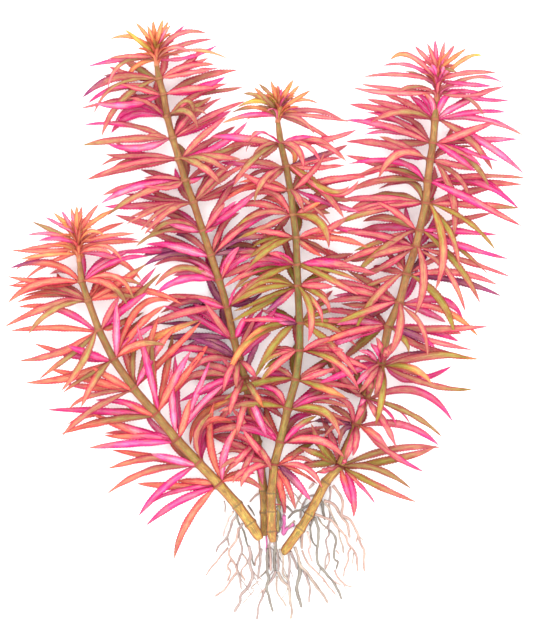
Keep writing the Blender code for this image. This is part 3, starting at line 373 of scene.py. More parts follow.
# Whorls that show only as a few leaves between the others: shoot, ring and leaves
HIDDEN_WHORLS = {
    "tall_low_whorl_1": ("tall", (-15, -20),
        "v -43 -13 -29 -10.5, p -53 -14, p 2 -6, r -6 2, bf -16 -36, rf -5 -31, rf -23 -37, "
        "r -41 -28 -33 -20, rp -51 -20 -41 -14, v -40 -9"),
    "tall_low_whorl_2": ("tall", (-12, -30),
        "r -45 -19.5, br -45 -31, p -47 -43, v -4 -12, sf -20 -50, gof -2 -46, r 6 -36, s -30 -44, "
        "p -37 -39 -27 -33, br -48 -38.5 -37 -28"),
    "tall_low_whorl_3": ("tall", (-9.5, -40),
        "b -37 -51, v -9 -56, v -1 -53, r -24 -20, sf -16 -62, kf 0 -62, r 9 -52, s -28 -58, "
        "rp -46 -62.5 -34 -45, oc -41 -66.5 -34 -50"),
    "tall_low_whorl_4": ("tall", (-5, -66),
        "rf -14 -86, s -24 -72, bf 3 -80, sf -20 -80, r -28 -62, s -18 -48, k -2 -88"),
    "right_low_whorl_1": ("right", (45.5, -68),
        "gb 95 -69 70 -69.5, gf 79 -91 61 -80.5, ksf 42 -78, r 30 -52"),
}

# Roots read from the stem outward, and under the tall shoot one dark thread that is painted shade: a tone
# letter, a capital where the root leaves a ring, its radius in eighths of a millimetre, and the places it
# runs through
THREADS = {
    "left": [
        "A4 -23 -98.5, -22.5 -102, -22.5 -105.5",
        "W5 -18 -104, -21 -109, -22.5 -113, -24 -119",
        "A6 -16 -103.5, -16.5 -106.5, -19 -110.5, -20.5 -116.5, -22 -119.5, -27 -124.5, -28 -127.5",
        "a5 -21.5 -119, -20.5 -124",
        "r5 -21 -124.5, -29 -134, -33.5 -140.5",
        "D5 -16.5 -104, -15.5 -109.5, -14 -112.5, -12 -115.5, -11 -121.5, -8.5 -126.5, -7 -133, -6 -135",
        "A6 -13 -110.5, -15 -115.5, -14 -121.5, -13.5 -127, -15.5 -133, -16 -137.5, -14.5 -142.5, "
        "-13.5 -148",
        "R6 -15 -113, -17 -120.5, -20.5 -126.5, -19.5 -130.5, -16 -137, -18.5 -141.5, -23.5 -148, "
        "-28.5 -152",
        "r5 -19.5 -131.5, -21.5 -135, -19.5 -138, -21.5 -143.5",
        "r4 -13.5 -127.5, -10.5 -132.5, -13.5 -137.5, -13 -140.5, -11.5 -143",
        "A8 -9.5 -123, -8.5 -128.5, -9.5 -131.5, -8 -136.5, -7.5 -141, -10.5 -147, -14 -151.5, "
        "-14.5 -155, -18 -160.5",
    ],
    "tall": [
        "R5 -2 -93, -6 -96, -9 -99.5",
        # Painted shade: the dark grey thread d4 from (-10, -101) to (-6, -107) is no root but the shade on
        # the right side of the left stem.
        "d4 -10 -101, -6 -107",
        "R5 -4 -119.5, -3.5 -126.5, -5.5 -130.5, -6 -135",
        "A6 -2.5 -125, -3.5 -133, -4.5 -142.5",
        "M4 0 -117, 0.5 -125, 0 -131.5",
        "d4 0.5 -137.5, -3 -141",
        "b3 -4 -143, -8 -147, -6.5 -148, -12.5 -155",
        "D7 1 -125, 0.5 -137, 1.5 -141.5, 0.5 -147, 2 -154, 4 -160.5",
        "a6 5.5 -137.5, 3 -143, 0.5 -146, -2.5 -152.5, -4 -157, -5 -165",
        "r3 0 -147, -4 -150.5, -4.5 -153.5",
        "W7 1.5 -123, 2.5 -129.5, 2.5 -137.5",
    ],
    "middle": [
        "A5 2.5 -119.5, 1.5 -125, 0.5 -129.5",
        "D8 6 -117.5, 5 -125, 4.5 -131.5, 5.5 -137.5",
        "A6 4 -118, 6.5 -129.5, 7 -137.5",
        "b7 6.5 -138, 9 -142.5, 12.5 -147, 13.5 -155, 14.5 -158.5, 13.5 -164.5",
        "b5 6 -140.5, 6 -147.5, 8 -152.5, 11.5 -157.5",
        "B5 7.5 -125, 9.5 -131.5, 9.5 -138.5, 12.5 -143.5",
        "D4 6 -101.5, 8 -105.5, 8.5 -109.5, 7 -116.5",
        "C3 5.5 -100, 9 -101.5, 10 -109.5",
        "y9 5.8 -88, 7 -98, 6.6 -116",
        "m9 15.5 -111.5, 11 -114.5, 9.5 -118",
        "M9 10 -106.5, 10 -111, 9 -117.5",
    ],
    "right": [
        "R7 37 -90, 40.5 -94.5, 42.5 -100, 42 -106, 45.5 -108, 47.5 -110.5, 50.5 -116.5, 53 -123, "
        "54.5 -127.5, 54 -133, 55 -138",
        "R7 32 -98.5, 36 -99.5, 39 -102, 40.5 -106, 44 -110, 45.5 -112.5, 46.5 -119.5",
        "r4 51 -118, 49.5 -122.5",
        "b3 51.5 -118, 54.5 -121",
        "A5 35.5 -90.5, 35.5 -95.5, 35 -100.5, 35.5 -106.5, 34.5 -112, 35 -117.5, 33.5 -120.5, "
        "34 -127.5, 33 -130.5, 33 -136.5",
        "B5 32 -99, 35 -103, 38 -109, 40 -113.5, 40.5 -118.5, 42.5 -123, 43 -128",
        "D7 30.5 -98.5, 31.5 -102, 32.5 -109.5",
        "R6 27 -106, 32 -107.5, 36.5 -109.5, 40 -114, 44.5 -118.5, 45.5 -122.5, 48.5 -126, 50.5 -131.5, "
        "51 -138",
        "r5 47 -125, 45.5 -127.5, 45.5 -131.5, 44 -136, 43 -141",
        "d6 34.5 -115, 36.5 -116, 38.5 -119.5, 38 -125.5, 38 -131, 40 -132.5, 38.5 -137",
        "r5 38 -137, 40 -141.5, 44.5 -145.5, 48.5 -146.5",
        "D5 26.5 -107, 25 -112, 25 -118.5, 26.5 -122.5, 28 -124.5",
        "D7 27 -107.5, 29 -115, 29 -121.5, 28 -128.5, 29 -133.5, 33.5 -139, 37.5 -144.5, 40.5 -149, "
        "42 -153.5",
        "b4 28 -106, 30.5 -110.5, 34.5 -115",
        "r5 20 -126, 22 -131, 25.5 -136, 31 -141, 35.5 -147, 38.5 -151",
        "B7 16 -124, 18 -130, 19.5 -135, 23.5 -139.5, 27.5 -145.5, 30.5 -149.5, 34.5 -155.5",
        "d9 18.5 -132.5, 19 -138, 17.5 -143.5, 17 -148.5, 19 -154, 19.5 -158",
        "a6 21 -137.5, 23 -142.5, 24.5 -147.5, 23.5 -155.5",
        "R7 20 -115, 20 -121, 20 -125.5",
        "W5 23 -115.5, 24.5 -123, 23.5 -126.5, 26 -132.5",
        "A6 12.5 -126, 13 -137, 12.5 -143, 13.5 -149.5",
        "A6 13.5 -126.5, 16 -132.5, 17.5 -137",
        "A5 30 -91.5, 28 -95, 24 -96, 20.5 -101, 18.5 -108.5",
        "D6 27 -98, 19.5 -103.5, 16.5 -104.5, 12 -108.5",
        "r5 20 -94.5, 17.5 -99.5, 16 -103.5",
        "b3 11.5 -93, 16 -95, 18 -98.5, 20 -100.5",
        "b3 11.5 -95, 12.5 -97.5, 14.5 -100, 16 -103",
        "r5 16 -109.5, 12 -113.5",
        "w6 26.5 -89, 23.5 -92",
        "d5 11.5 -101.5, 15 -105",
        "r4 39 -126, 41 -129",
        "r4 35 -127.5, 35 -132.5, 33 -137",
        "b3 48.5 -127.5, 48 -134.5",
        "w4 36 -142, 42 -146",
    ],
}


def unit(vectors):
    """Vectors at length one, along the last axis."""
    return vectors / np.maximum(np.linalg.norm(vectors, axis=-1, keepdims=True), 1e-9)


def smooth_step(share):
    """3 s^2 - 2 s^3 of a share held between 0 and 1."""
    share = np.clip(share, 0.0, 1.0)
    return share * share * (3 - 2 * share)


def linear(colour):
    """Reflected share of a colour given from 0 to 255 as it looks on the plant in this light."""
    shown = np.asarray(colour, float) / 255
    return np.where(shown <= 0.04045, shown / 12.92, ((shown + 0.055) / 1.055) ** 2.4) * IN_THE_LIGHT


def blend_of(first, second, share):
    """first (1 - share) + second share."""
    return first * (1 - share) + second * share


def lengths_along(path):
    """Length from a path's start to each of its points."""
    return np.append(0.0, np.cumsum(np.linalg.norm(np.diff(path, axis=0), axis=1)))


def set_down(name, data):
    """An object of the scene with the given mesh, light or camera."""
    thing = bpy.data.objects.new(name, data)
    bpy.context.scene.collection.objects.link(thing)
    return thing


# Mesh making


class Piece:
    """Grids gathered into one mesh, each point with its attributes."""

    def __init__(self, name):
        self.name = name
        self.points, self.quads, self.triangles = [], [], []
        self.attributes = {}
        self.total = 0

    def add(self, points, quads, triangles=(), **attributes):
        """One closed surface: its points in mm, its faces by point number and its attributes.

        Points under the surface that the plant lies on are lifted to it.
        """
        quads = np.asarray(quads, int).reshape(-1, 4)
        triangles = np.asarray(triangles, int).reshape(-1, 3)
        shape, points = points.shape[:-1], points.reshape(-1, 3)
        self.points.append(np.column_stack((points[:, :2], np.maximum(points[:, 2], PLANT_MIDDLE[2]))))
        self.quads.append(quads + self.total)
        self.triangles.append(triangles + self.total)
        for key, values in attributes.items():
            values = np.broadcast_to(values, shape + (np.shape(values)[-1],))
            self.attributes.setdefault(key, []).append(values.reshape(-1, values.shape[-1]))
        self.total += self.points[-1].shape[0]

    def make(self, material, nodes=()):
        """The finished object at the origin, riding on the plant and standing for its CAD nodes."""
        mesh = bpy.data.meshes.new(self.name)
        points = (np.concatenate(self.points) - PLANT_MIDDLE) * MM
        quads, triangles = np.concatenate(self.quads), np.concatenate(self.triangles)
        corners = np.concatenate((quads.ravel(), triangles.ravel()))
        starts = np.concatenate((np.arange(len(quads)) * 4,
                                 len(quads) * 4 + np.arange(len(triangles)) * 3))
        mesh.vertices.add(len(points))
        mesh.vertices.foreach_set("co", points.ravel())
        mesh.loops.add(len(corners))
        mesh.loops.foreach_set("vertex_index", corners)
        mesh.polygons.add(len(starts))
        mesh.polygons.foreach_set("loop_start", starts)
        mesh.polygons.foreach_set("use_smooth", np.ones(len(starts), bool))
        for key, values in self.attributes.items():
            values = np.concatenate(values)
            if key.startswith("tone"):
                layer = mesh.color_attributes.new(key, "FLOAT_COLOR", "POINT")
                layer.data.foreach_set("color", np.column_stack((values, np.ones(len(values)))).ravel())
            else:
                layer = mesh.attributes.new(key, "FLOAT_VECTOR", "POINT")
                layer.data.foreach_set("vector", values.ravel())
        mesh.materials.append(material)
        mesh.update(calc_edges=True)
        mesh.validate()
        thing = set_down(self.name, mesh)
        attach(thing, "root")
        if nodes:
            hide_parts(*nodes)


def loft_faces(rings, around):
    """Quads between rings of points, each ring closed round itself, that face away from its middle."""
    low = np.arange(rings - 1)[:, None] * around
    here = np.arange(around)[None, :]
    after = (here + 1) % around
    return np.stack((low + here, low + around + here, low + around + after, low + after), axis=-1)


# Reading the solids


def limbs_of(node):
    """Leaves of a CAD node, each a list of rings of points in mm from its facet to its tip.

    A copy's doubles are merged. A tip is a corner where three edges meet, and each ring is made of
    the corners next to the ring before it, as long as there are three of them.
    """
    skin = bmesh.new()
    skin.from_mesh(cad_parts[node].data)
    bmesh.ops.remove_doubles(skin, verts=skin.verts, dist=2e-6)
    limbs = []
    for corner in skin.verts:
        if len(corner.link_edges) != 3:
            continue
        seen, rings = {corner}, [{corner}]
        ring = {edge.other_vert(corner) for edge in corner.link_edges}
        while len(ring) == 3:
            rings.append(ring)
            seen |= ring
            ring = {edge.other_vert(point) for point in ring for edge in point.link_edges} - seen
        if len(ring) == 4 and len(rings) > 1:
            rings.append(ring)
            limbs.append([np.array([point.co for point in each]) / MM + PLANT_MIDDLE
                          for each in reversed(rings)])
    skin.free()
    return sorted(limbs, key=lambda limb: math.atan2(*(limb[-1].mean(axis=0) - limb[0].mean(axis=0))[:2]))


def below_reading(place, height):
    """Where a point at a height (mm) is seen at a place read on the picture's plane.

    It is the camera's foot + (place - foot) (camera's height - height) / (camera's height - plane's).
    """
    foot = np.array(CAMERA_OVER) / MM + PLANT_MIDDLE[:2]
    above = CAMERA_HEIGHT / MM + PLANT_MIDDLE[2] - height
    return foot + (place - foot) * above * MM / (CAMERA_HEIGHT - PICTURE_PLANE)


class Leaf:
    """A leaf's curve, facing and widths in mm."""

    def __init__(self, root, control, tip, facing, width, letters):
        self.root, self.control, self.tip = root, control, tip
        self.facing, self.width, self.letters = facing, width, letters
        self.arch, self.sway = EXTRA_ARCH, 1.0

    def reach_to(self, place, middle):
        """Bring the tip to a place in the plane and the curve half as far, or through a middle.

        The curve's middle is (root + 2 control + tip) / 4.
        """
        place = below_reading(place, self.tip[2])
        place = place + unit(place - self.root[:2]) * THIN_TIP
        offset = np.append(place - self.tip[:2], 0.0)
        self.tip = self.tip + offset
        self.control = self.control + offset / 2
        self.arch, self.sway = READ_ARCH, READ_SWAY
        if middle is not None:
            middle = below_reading(middle, (self.root[2] + 2 * self.control[2] + self.tip[2]) / 4)
            self.control[:2] = 2 * middle - (self.root[:2] + self.tip[:2]) / 2
            self.arch = (0.0, 0.0)


def leaf_from_solid(limb):
    """The curve, facing and width of a solid leaf.

    The longest side of a section is the blade and the corner across it the keel, so the blade faces
    away from the keel. A quadratic curve through the root, the section's middle at t and the tip has
    its control point at (middle - (1 - t)^2 root - t^2 tip) / (2 t (1 - t)).
    """
    root, tip = limb[0].mean(axis=0), limb[-1].mean(axis=0)
    sections = limb[1:-1]
    shares = (0.5,) if len(sections) == 1 else (1 / 3, 2 / 3)
    controls, facings, widths = [], [], []
    for share, section in zip(shares, sections):
        sides = np.linalg.norm(np.roll(section, -1, axis=0) - np.roll(section, -2, axis=0), axis=1)
        keel = int(np.argmax(sides))
        middle = (section.sum(axis=0) - section[keel]) / 2
        controls.append((middle - (1 - share) ** 2 * root - share ** 2 * tip) / (2 * share * (1 - share)))
        facings.append(unit(middle - section[keel]))
        widths.append(sides[keel])
    return Leaf(root, np.mean(controls, axis=0), tip, unit(np.mean(facings, axis=0)), max(widths), None)


# Stems


class StemLine:
    """A shoot's axis in mm: its points from the cut end to the bud, with tangents and radii.

    Its height follows a smooth step of 1.7 times the share along it less 0.2, as the solid's does.
    """

    def __init__(self, shoot):
        places = np.array(shoot["foot"] + shoot.get("bend", []) + shoot["rings"] + shoot["bud"][:1], float)
        lengths = lengths_along(places)
        share = lengths / lengths[-1]
        low, high = shoot["height"]
        heights = low + (high - low) * smooth_step(share * 1.7 - 0.2)
        self.points = np.column_stack((places, heights))
        self.radii = np.interp(share, (0, 1), shoot["radius"])
        self.tangents = unit(np.gradient(self.points, axis=0))

    def at(self, place):
        """Point, tangent and radius at the ring nearest to a place in the plane."""
        number = int(np.argmin(np.linalg.norm(self.points[:, :2] - np.array(place), axis=1)))
        return self.points[number], self.tangents[number], self.radii[number]


LINES = {name: StemLine(shoot) for name, shoot in STEMS.items()}


def across_path(path):
    """Side and upper direction across a path's tangent at each of its points."""
    tangent = unit(np.gradient(path, axis=0))
    side = unit(np.cross(tangent, UP))
    return side, np.cross(side, tangent)


def closed_tube(path, radii, around):
    """A tube along a path: its points, quads, triangles that close the ends, and angles.

    Its rings are point + radius (cos a side + sin a upper) for a round the full turn, and the path's
    first and last points come last.
    """
    side, upper = across_path(path)
    angle = np.arange(around) * FULL_TURN / around
    spokes = np.cos(angle)[None, :, None] * side[:, None] + np.sin(angle)[None, :, None] * upper[:, None]
    points = path[:, None] + spokes * np.reshape(radii, (len(path), -1, 1))
    rings = len(path)
    everything = np.concatenate((points.reshape(-1, 3), path[:1], path[-1:]))
    here = np.arange(around)
    after = (here + 1) % around
    first = np.column_stack((here, after, np.full(around, rings * around)))
    last = np.column_stack((after, here, np.full(around, rings * around + 1))) + \
        np.array((1, 1, 0)) * (rings - 1) * around
    return everything, loft_faces(rings, around), np.concatenate((first, last)), angle


def make_stem(shoot_name, material):
    """The stem's skin from its cut end to the bud: a tube that swells at each ring.

    Along the line the radius is r (1 - 0.05 sin(pi w)) for w from one ring to the next, plus the
    swelling times exp(-(d / 1.1)^2) for d mm from the nearest ring. It is drawn in over the first 4 mm
    by a square root and over the last 8 mm by a smooth step. The path is a mean of nine points.
    """
    line = LINES[shoot_name]
    lengths = lengths_along(line.points)
    count = int(lengths[-1] / STEM_STEP)
    along = np.linspace(0, lengths[-1], count)
    path = np.column_stack([np.interp(along, lengths, line.points[:, axis]) for axis in range(3)])
    weights = np.hanning(9) / np.hanning(9).sum()
    padded = np.concatenate((path[:1] * 2 - path[4:0:-1], path, path[-1:] * 2 - path[-2:-6:-1]))
    path = np.column_stack([np.convolve(padded[:, axis], weights, "valid") for axis in range(3)])
    number = np.clip(np.searchsorted(lengths, along, side="right") - 1, 0, len(lengths) - 2)
    within = (along - lengths[number]) / (lengths[number + 1] - lengths[number])
    apart = np.min(np.abs(along[:, None] - lengths[None, 1:-1]), axis=1)
    ring = np.exp(-(apart / RING_REACH) ** 2)
    radius = STEM_SHARE * np.interp(along, lengths, line.radii) * (1 - 0.05 * np.sin(math.pi * within))
    radius = radius + RING_SWELLING * ring
    radius *= blend_of(0.5, 1.0, np.sqrt(np.clip(along / 4.0, 0.0, 1.0)))
    radius *= blend_of(0.72, 1.0, smooth_step((lengths[-1] - along) / 8.0))
    points, quads, triangles, angle = closed_tube(path, radius, STEM_AROUND)
    share = along / lengths[-1]
    turned = np.broadcast_to(angle, (count, STEM_AROUND))
    grown = np.stack((radius[:, None] * np.cos(turned), radius[:, None] * np.sin(turned),
                      np.broadcast_to(along[:, None], turned.shape)), axis=-1).reshape(-1, 3)
    # The place's second part is |cos| of the angle round the stem: 1 on the flanks, where the material
    # paints shade.
    place = np.stack((np.broadcast_to(share[:, None], turned.shape), np.abs(np.cos(turned)),
                      np.broadcast_to(ring[:, None], turned.shape)), axis=-1).reshape(-1, 3)
    piece = Piece(shoot_name + "_stem_skin")
    place = np.concatenate((place, place[:1], place[-1:]))
    tones = np.array([linear(tone) for tone in STEMS[shoot_name]["tones"]])
    tone = np.column_stack([np.interp(place[:, 0], (0.05, 0.5, 0.9), tones[:, part]) for part in range(3)])
    piece.add(points, quads, triangles, grown=np.concatenate((grown, grown[:1], grown[-1:])),
              place=place, tone_ground=tone)
    piece.make(material, [shoot_name + "_stem"])


# Leaves


def blade_grid(leaf, growing, number, draw):
    """Points, attributes and faces of one leaf blade.

    Its axis is (1 - u)^2 root + 2 u (1 - u) control + u^2 tip, arched toward the growing end by
    4 u (1 - u) and swayed sideways by u sin(2 pi u) and u^4. Half its width is that of a strap: it
    grows to full by a smooth step of u / 0.32 and falls from u = 0.5 to the tip by a quarter sine of
    the share left, to the power 0.78, with a small tooth at every other ring. The faces of the blade
    lie above and under v times the half width, folded up from the middle by |v|^1.2 and waved by v^2.
    """
    reach = np.linalg.norm(leaf.tip - leaf.control) + np.linalg.norm(leaf.control - leaf.root)
    rings = max(FEWEST_RINGS, int(reach / TOOTH_SPACING))
    u = np.linspace(0, 1, rings)
    column = u[:, None]
    axis = (1 - column) ** 2 * leaf.root + 2 * column * (1 - column) * leaf.control + column ** 2 * leaf.tip
    heading = unit(2 * (1 - column) * (leaf.control - leaf.root) + 2 * column * (leaf.tip - leaf.control))
    length = np.linalg.norm(np.diff(axis, axis=0), axis=1).sum()
    chord = unit(leaf.tip - leaf.root)
    aside = growing - chord * (growing @ chord)
    axis = axis + aside * (length * draw.uniform(*leaf.arch) * 4 * column * (1 - column))
    sway = length * (0.014 * np.sin(FULL_TURN * u + draw.uniform(-0.6, 0.6)) * draw.choice((-1, 1)) * u
                     + 0.05 * draw.uniform(-1, 1) * u ** 4)
    axis = axis + leaf.sway * sway[:, None] * unit(np.cross(heading, UP))
    heading = unit(np.gradient(axis, axis=0))
    turned = smooth_step(column / 0.15)
    facing = unit(blend_of(unit(growing + leaf.facing * 1.2), leaf.facing, turned))
    lean = draw.uniform(-LEAN, LEAN)
    side = unit(np.cross(heading, facing))
    normal = np.cross(side, heading)
    side, normal = (side * np.cos(lean * column) + normal * np.sin(lean * column),
                    normal * np.cos(lean * column) - side * np.sin(lean * column))
    left = np.clip((1 - u) / (1 - NARROWS_AT), 0, 1) ** BLUNT_POWER
    strap = (ROOT_WIDTH + (1 - ROOT_WIDTH) * smooth_step(u / FULL_AT)) * np.sin(math.pi / 2 * left)
    half = np.maximum(leaf.width / 2 * strap, LEAST_HALF)
    v = BLADE_ACROSS[None, :]
    tooth = np.where(np.arange(rings) % 2 == 1, TOOTH_OUT, TOOTH_IN)[:, None]
    tooth = np.where(np.abs(v) == 1, tooth, 1.0)
    wave = EDGE_WAVE * np.sin(u * draw.uniform(14, 24) + draw.uniform(0, 6))[:, None] * v ** 2 * np.sign(v)
    fold = ((FOLD + FOLD_SPREAD * draw.uniform(-1, 1)) * np.abs(v) ** 1.2 + wave) * half[:, None]
    sheet = axis[:, None] + (v * half[:, None] * tooth)[..., None] * side[:, None]
    thick = (EDGE_THICK + MIDDLE_THICK * (1 - v ** 2)) * np.minimum(1, half[:, None] / THIN_BELOW)
    keel = np.where(v == 0, KEEL_DEPTH, 0.0) * np.minimum(1, half[:, None])
    upper = sheet + (fold + thick)[..., None] * normal[:, None]
    lower = sheet + (fold - thick - keel)[..., None] * normal[:, None]
    points = np.concatenate((upper, lower[:, ::-1]), axis=1)
    count = 2 * len(BLADE_ACROSS)
    quads = loft_faces(rings, count).reshape(-1, 4)[:, ::-1]
    here = np.arange(len(BLADE_ACROSS) - 1)
    cap = np.column_stack((here, here + 1, count - 2 - here, count - 1 - here))
    quads = np.concatenate((quads, cap[:, ::-1], cap + (rings - 1) * count))
    both = np.concatenate((BLADE_ACROSS, BLADE_ACROSS[::-1]))
    under = np.repeat((0.0, 1.0), len(BLADE_ACROSS))
    shape = (rings, count)
    place = np.stack((np.broadcast_to(u[:, None], shape), np.broadcast_to(both, shape),
                      np.broadcast_to(under, shape)), axis=-1)
    grown = np.stack((both[None, :] * half[:, None], np.full(shape, number * 7.3),
                      np.broadcast_to((u * length)[:, None], shape)), axis=-1)
    return points, quads, place, grown


def leaf_tones(letters, place, draw):
    """Ground, stripe and margin colours over a blade.

    The first letter's tone runs into the second one's by a smooth step of u that reaches further
    along one half of the blade than the other. The under side is pinker, the root has the margin's
    tone by exp(-(u / 0.1)^2), and each leaf is a little lighter or darker.
    """
    first = [linear(colour) for colour in TONES[letters[0]]]
    second = [linear(colour) for colour in TONES[letters[-1]]]
    u, v, under = place[..., :1], place[..., 1:2], place[..., 2:]
    start = draw.uniform(0.25, 0.6) + 0.12 * v * draw.choice((-1, 1))
    share = smooth_step((u - start) / 0.4)
    bright = draw.uniform(0.88, 1.12)
    tones = [blend_of(one, two, share) * bright for one, two in zip(first, second)]
    tones[0] = blend_of(tones[0], linear(UNDER_PINK) * bright, 0.35 * under)
    base = np.exp(-(u / 0.1) ** 2)
    tones[0] = blend_of(tones[0], tones[2], 0.45 * base)
    return tones


def take_readings(leaves, readings, draw, reach):
    """Give each leaf the letters and place of the nearest reading, and return the readings left.

    Each reading is taken once. Leaves without one get the letters of one drawn from the same whorl.
    """
    free = list(range(len(readings)))
    pairs = sorted((float(np.hypot(*(leaf.tip[:2] - place))), k, n)
                   for k, leaf in enumerate(leaves) for n, (_, place, _) in enumerate(readings))
    for apart, k, n in pairs:
        if apart < reach and leaves[k].letters is None and n in free:
            leaves[k].letters = readings[n][0]
            leaves[k].reach_to(*readings[n][1:])
            free.remove(n)
    for leaf in leaves:
        if leaf.letters is None:
            leaf.letters = readings[int(draw.integers(len(readings)))][0]
    return [readings[n] for n in free]


def read(text):
    """Letters, place and middle, None where it wasn't read, of each leaf in a row of the tables."""
    readings = []
    for row in text.split(","):
        letters, *numbers = row.split()
        numbers = np.array(numbers, float)
        readings.append((letters, numbers[:2], numbers[2:] if len(numbers) == 4 else None))
    return readings


def leaf_to(reading, centre, tangent, radius, width, draw):
    """A leaf from a ring to a place in the plane, over the stem where its letters end in f.

    What the plane doesn't take up of the leaf's length is spare: the square root of its square less
    the reach's. It goes into the tip's height and the arch.
    """
    letters, place, middle = reading
    offset = place - centre[:2]
    reach = float(np.hypot(*offset))
    spare = math.sqrt(max(LEAF_LENGTH ** 2 - reach ** 2, LEAST_SPARE ** 2))
    front = letters.endswith("f")
    rise = min(0.45 * spare, 10.0) if front else draw.uniform(-0.5, 0.35) * spare
    tip = np.append(place, max(centre[2] + rise, LOWEST_TIP))
    across = unit(np.append(offset, 0.0))
    outward = unit(np.append(offset / max(reach, 1.0), 1.2 if front else 0.3 * rise / max(spare, 1.0)))
    root = centre + outward * radius * 0.8
    control = (root + tip) / 2 + UP * (0.7 * spare if front else 2.0) + tangent * 2.0
    control[2] = max(control[2], LOWEST_BEND)
    facing = unit(UP + tangent * draw.uniform(0.2, 0.7) + across * 0.1)
    leaf = Leaf(root, control, tip, facing, width * min(1.0, 0.55 + reach / 60), letters)
    leaf.reach_to(place, middle)
    return leaf


def bearing_of(leaf, centre, tangent):
    """Angle in the plane from the growing direction to a leaf's tip, and its distance."""
    offset = leaf.tip[:2] - centre[:2]
    ahead = float(offset @ tangent[:2])
    aside = float(offset[0] * tangent[1] - offset[1] * tangent[0])
    return math.atan2(aside, ahead), math.hypot(ahead, aside)


def leaf_between(first, second, centre, tangent, radius, draw):
    """A leaf halfway from one leaf of the whorl to the next, narrower than the next and of its tones."""
    (turn, reach), (turn_2, reach_2) = (bearing_of(leaf, centre, tangent) for leaf in (first, second))
    turn = blend_of(turn, turn_2, 0.5) + draw.uniform(-0.04, 0.04)
    reach = blend_of(reach, reach_2, 0.5) * draw.uniform(0.82, 1.02)
    ahead = unit(np.append(tangent[:2], 0.0))
    aside = np.array((ahead[1], -ahead[0], 0.0))
    way = math.cos(turn) * ahead + math.sin(turn) * aside
    tip = centre + way * reach
    tip[2] = max(LOWEST_TIP, blend_of(first.tip[2], second.tip[2], 0.5) + draw.uniform(-7, 5))
    root = centre + unit(way + UP * draw.uniform(-0.5, 0.3)) * radius * 0.8
    rise = np.mean([leaf.control - (leaf.root + leaf.tip) / 2 for leaf in (first, second)], axis=0)
    control = (root + tip) / 2 + rise * draw.uniform(0.5, 1.3) + ahead * draw.uniform(-1, 3)
    control[2] = max(control[2], LOWEST_BEND)
    width = second.width * draw.uniform(0.7, 0.92)
    facing = unit(UP + tangent * draw.uniform(0.1, 0.9))
    return Leaf(root, control, tip, facing, width, second.letters.rstrip("f"))


def crowd(leaves, centre, tangent, radius, wanted, draw):
    """More leaves between those of each side, in the widest gaps first, until the side has enough."""
    for sign in (-1, 1):
        row = sorted((bearing_of(leaf, centre, tangent)[0] * sign, k) for k, leaf in enumerate(leaves)
                     if bearing_of(leaf, centre, tangent)[0] * sign > BESIDE_FROM)
        row = [(turn, leaves[k]) for turn, k in row]
        while 2 <= len(row) < wanted:
            gaps = [row[k + 1][0] - row[k][0] for k in range(len(row) - 1)]
            k = int(np.argmax(gaps))
            if gaps[k] < LEAST_TURN:
                break
            added = leaf_between(row[k][1], row[k + 1][1], centre, tangent, radius, draw)
            leaves.append(added)
            row.insert(k + 1, (bearing_of(added, centre, tangent)[0] * sign, added))
            row.sort(key=lambda pair: pair[0])


def collar(piece, centre, tangent, radius):
    """The leaf bases' sheath round the stem: an oval profile carried round it, closed on itself.

    For b round the profile it lies radius + 0.25 + 0.42 cos b from the axis and 0.8 sin b along it.
    """
    angle = np.arange(COLLAR_AROUND) * FULL_TURN / COLLAR_AROUND
    side = unit(np.cross(tangent, UP))
    upper = np.cross(side, tangent)
    profile = np.arange(COLLAR_SIDES) * FULL_TURN / COLLAR_SIDES
    out = radius + COLLAR_OUT + COLLAR_THICK * np.cos(profile)
    up = COLLAR_HIGH * np.sin(profile)
    spokes = np.cos(angle)[:, None, None] * side + np.sin(angle)[:, None, None] * upper
    points = centre + spokes * out[None, :, None] + up[None, :, None] * tangent
    around, section = np.meshgrid(np.arange(COLLAR_AROUND), np.arange(COLLAR_SIDES), indexing="ij")
    here, ahead = around * COLLAR_SIDES, (around + 1) % COLLAR_AROUND * COLLAR_SIDES
    above = (section + 1) % COLLAR_SIDES
    quads = np.stack((here + section, here + above, ahead + above, ahead + section), axis=-1)
    grown = np.broadcast_to(np.stack((out * 3, out * 0, up), axis=-1), points.shape)
    tone = linear(COLLAR_TONE)
    piece.add(points, quads, grown=grown, place=np.array((0.02, 0.5, 0.0)), tone_ground=tone,
              tone_stripe=tone, tone_margin=tone * 0.7)


def add_leaves(piece, leaves, growing, draw):
    """Fine blades of all the leaves, each with its own wash and tones."""
    for number, leaf in enumerate(leaves):
        points, quads, place, grown = blade_grid(leaf, growing, number + 11 * draw.uniform(), draw)
        ground, stripe, margin = leaf_tones(leaf.letters.rstrip("f"), place, draw)
        piece.add(points, quads, grown=grown, place=place, tone_ground=ground, tone_stripe=stripe,
                  tone_margin=margin)


def make_whorl(node, shoot_name, ring, material, draw):
    """All the leaves of a whorl: those of the solid, the readings it has no room for, and others."""
    centre, tangent, radius = LINES[shoot_name].at(ring)
    readings = read(LEAVES[node])
    leaves = [leaf_from_solid(limb) for limb in limbs_of(node)]
    for leaf in leaves:
        leaf.root = leaf.root - unit(leaf.root - centre) * UNDER_COLLAR
    left = take_readings(leaves, readings, draw, WHORL_MATCH)
    leaves += [leaf_to(reading, centre, tangent, radius, WHORL_LEAF_WIDTH, draw) for reading in left]
    crowd(leaves, centre, tangent, radius, LEAVES_A_SIDE.get(node, USUAL_A_SIDE), draw)
    piece = Piece(node + "_leaves")
    add_leaves(piece, leaves, tangent, draw)
    collar(piece, centre, tangent, radius)
    piece.make(material, [node])


def make_hidden_whorl(name, shoot_name, ring, text, material, draw):
    """A whorl that has no solid of its own."""
    centre, tangent, radius = LINES[shoot_name].at(ring)
    leaves = [leaf_to(reading, centre, tangent, radius, HIDDEN_LEAF_WIDTH, draw) for reading in read(text)]
    piece = Piece(name + "_leaves")
    add_leaves(piece, leaves, tangent, draw)
    collar(piece, centre, tangent, radius)
    piece.make(material)


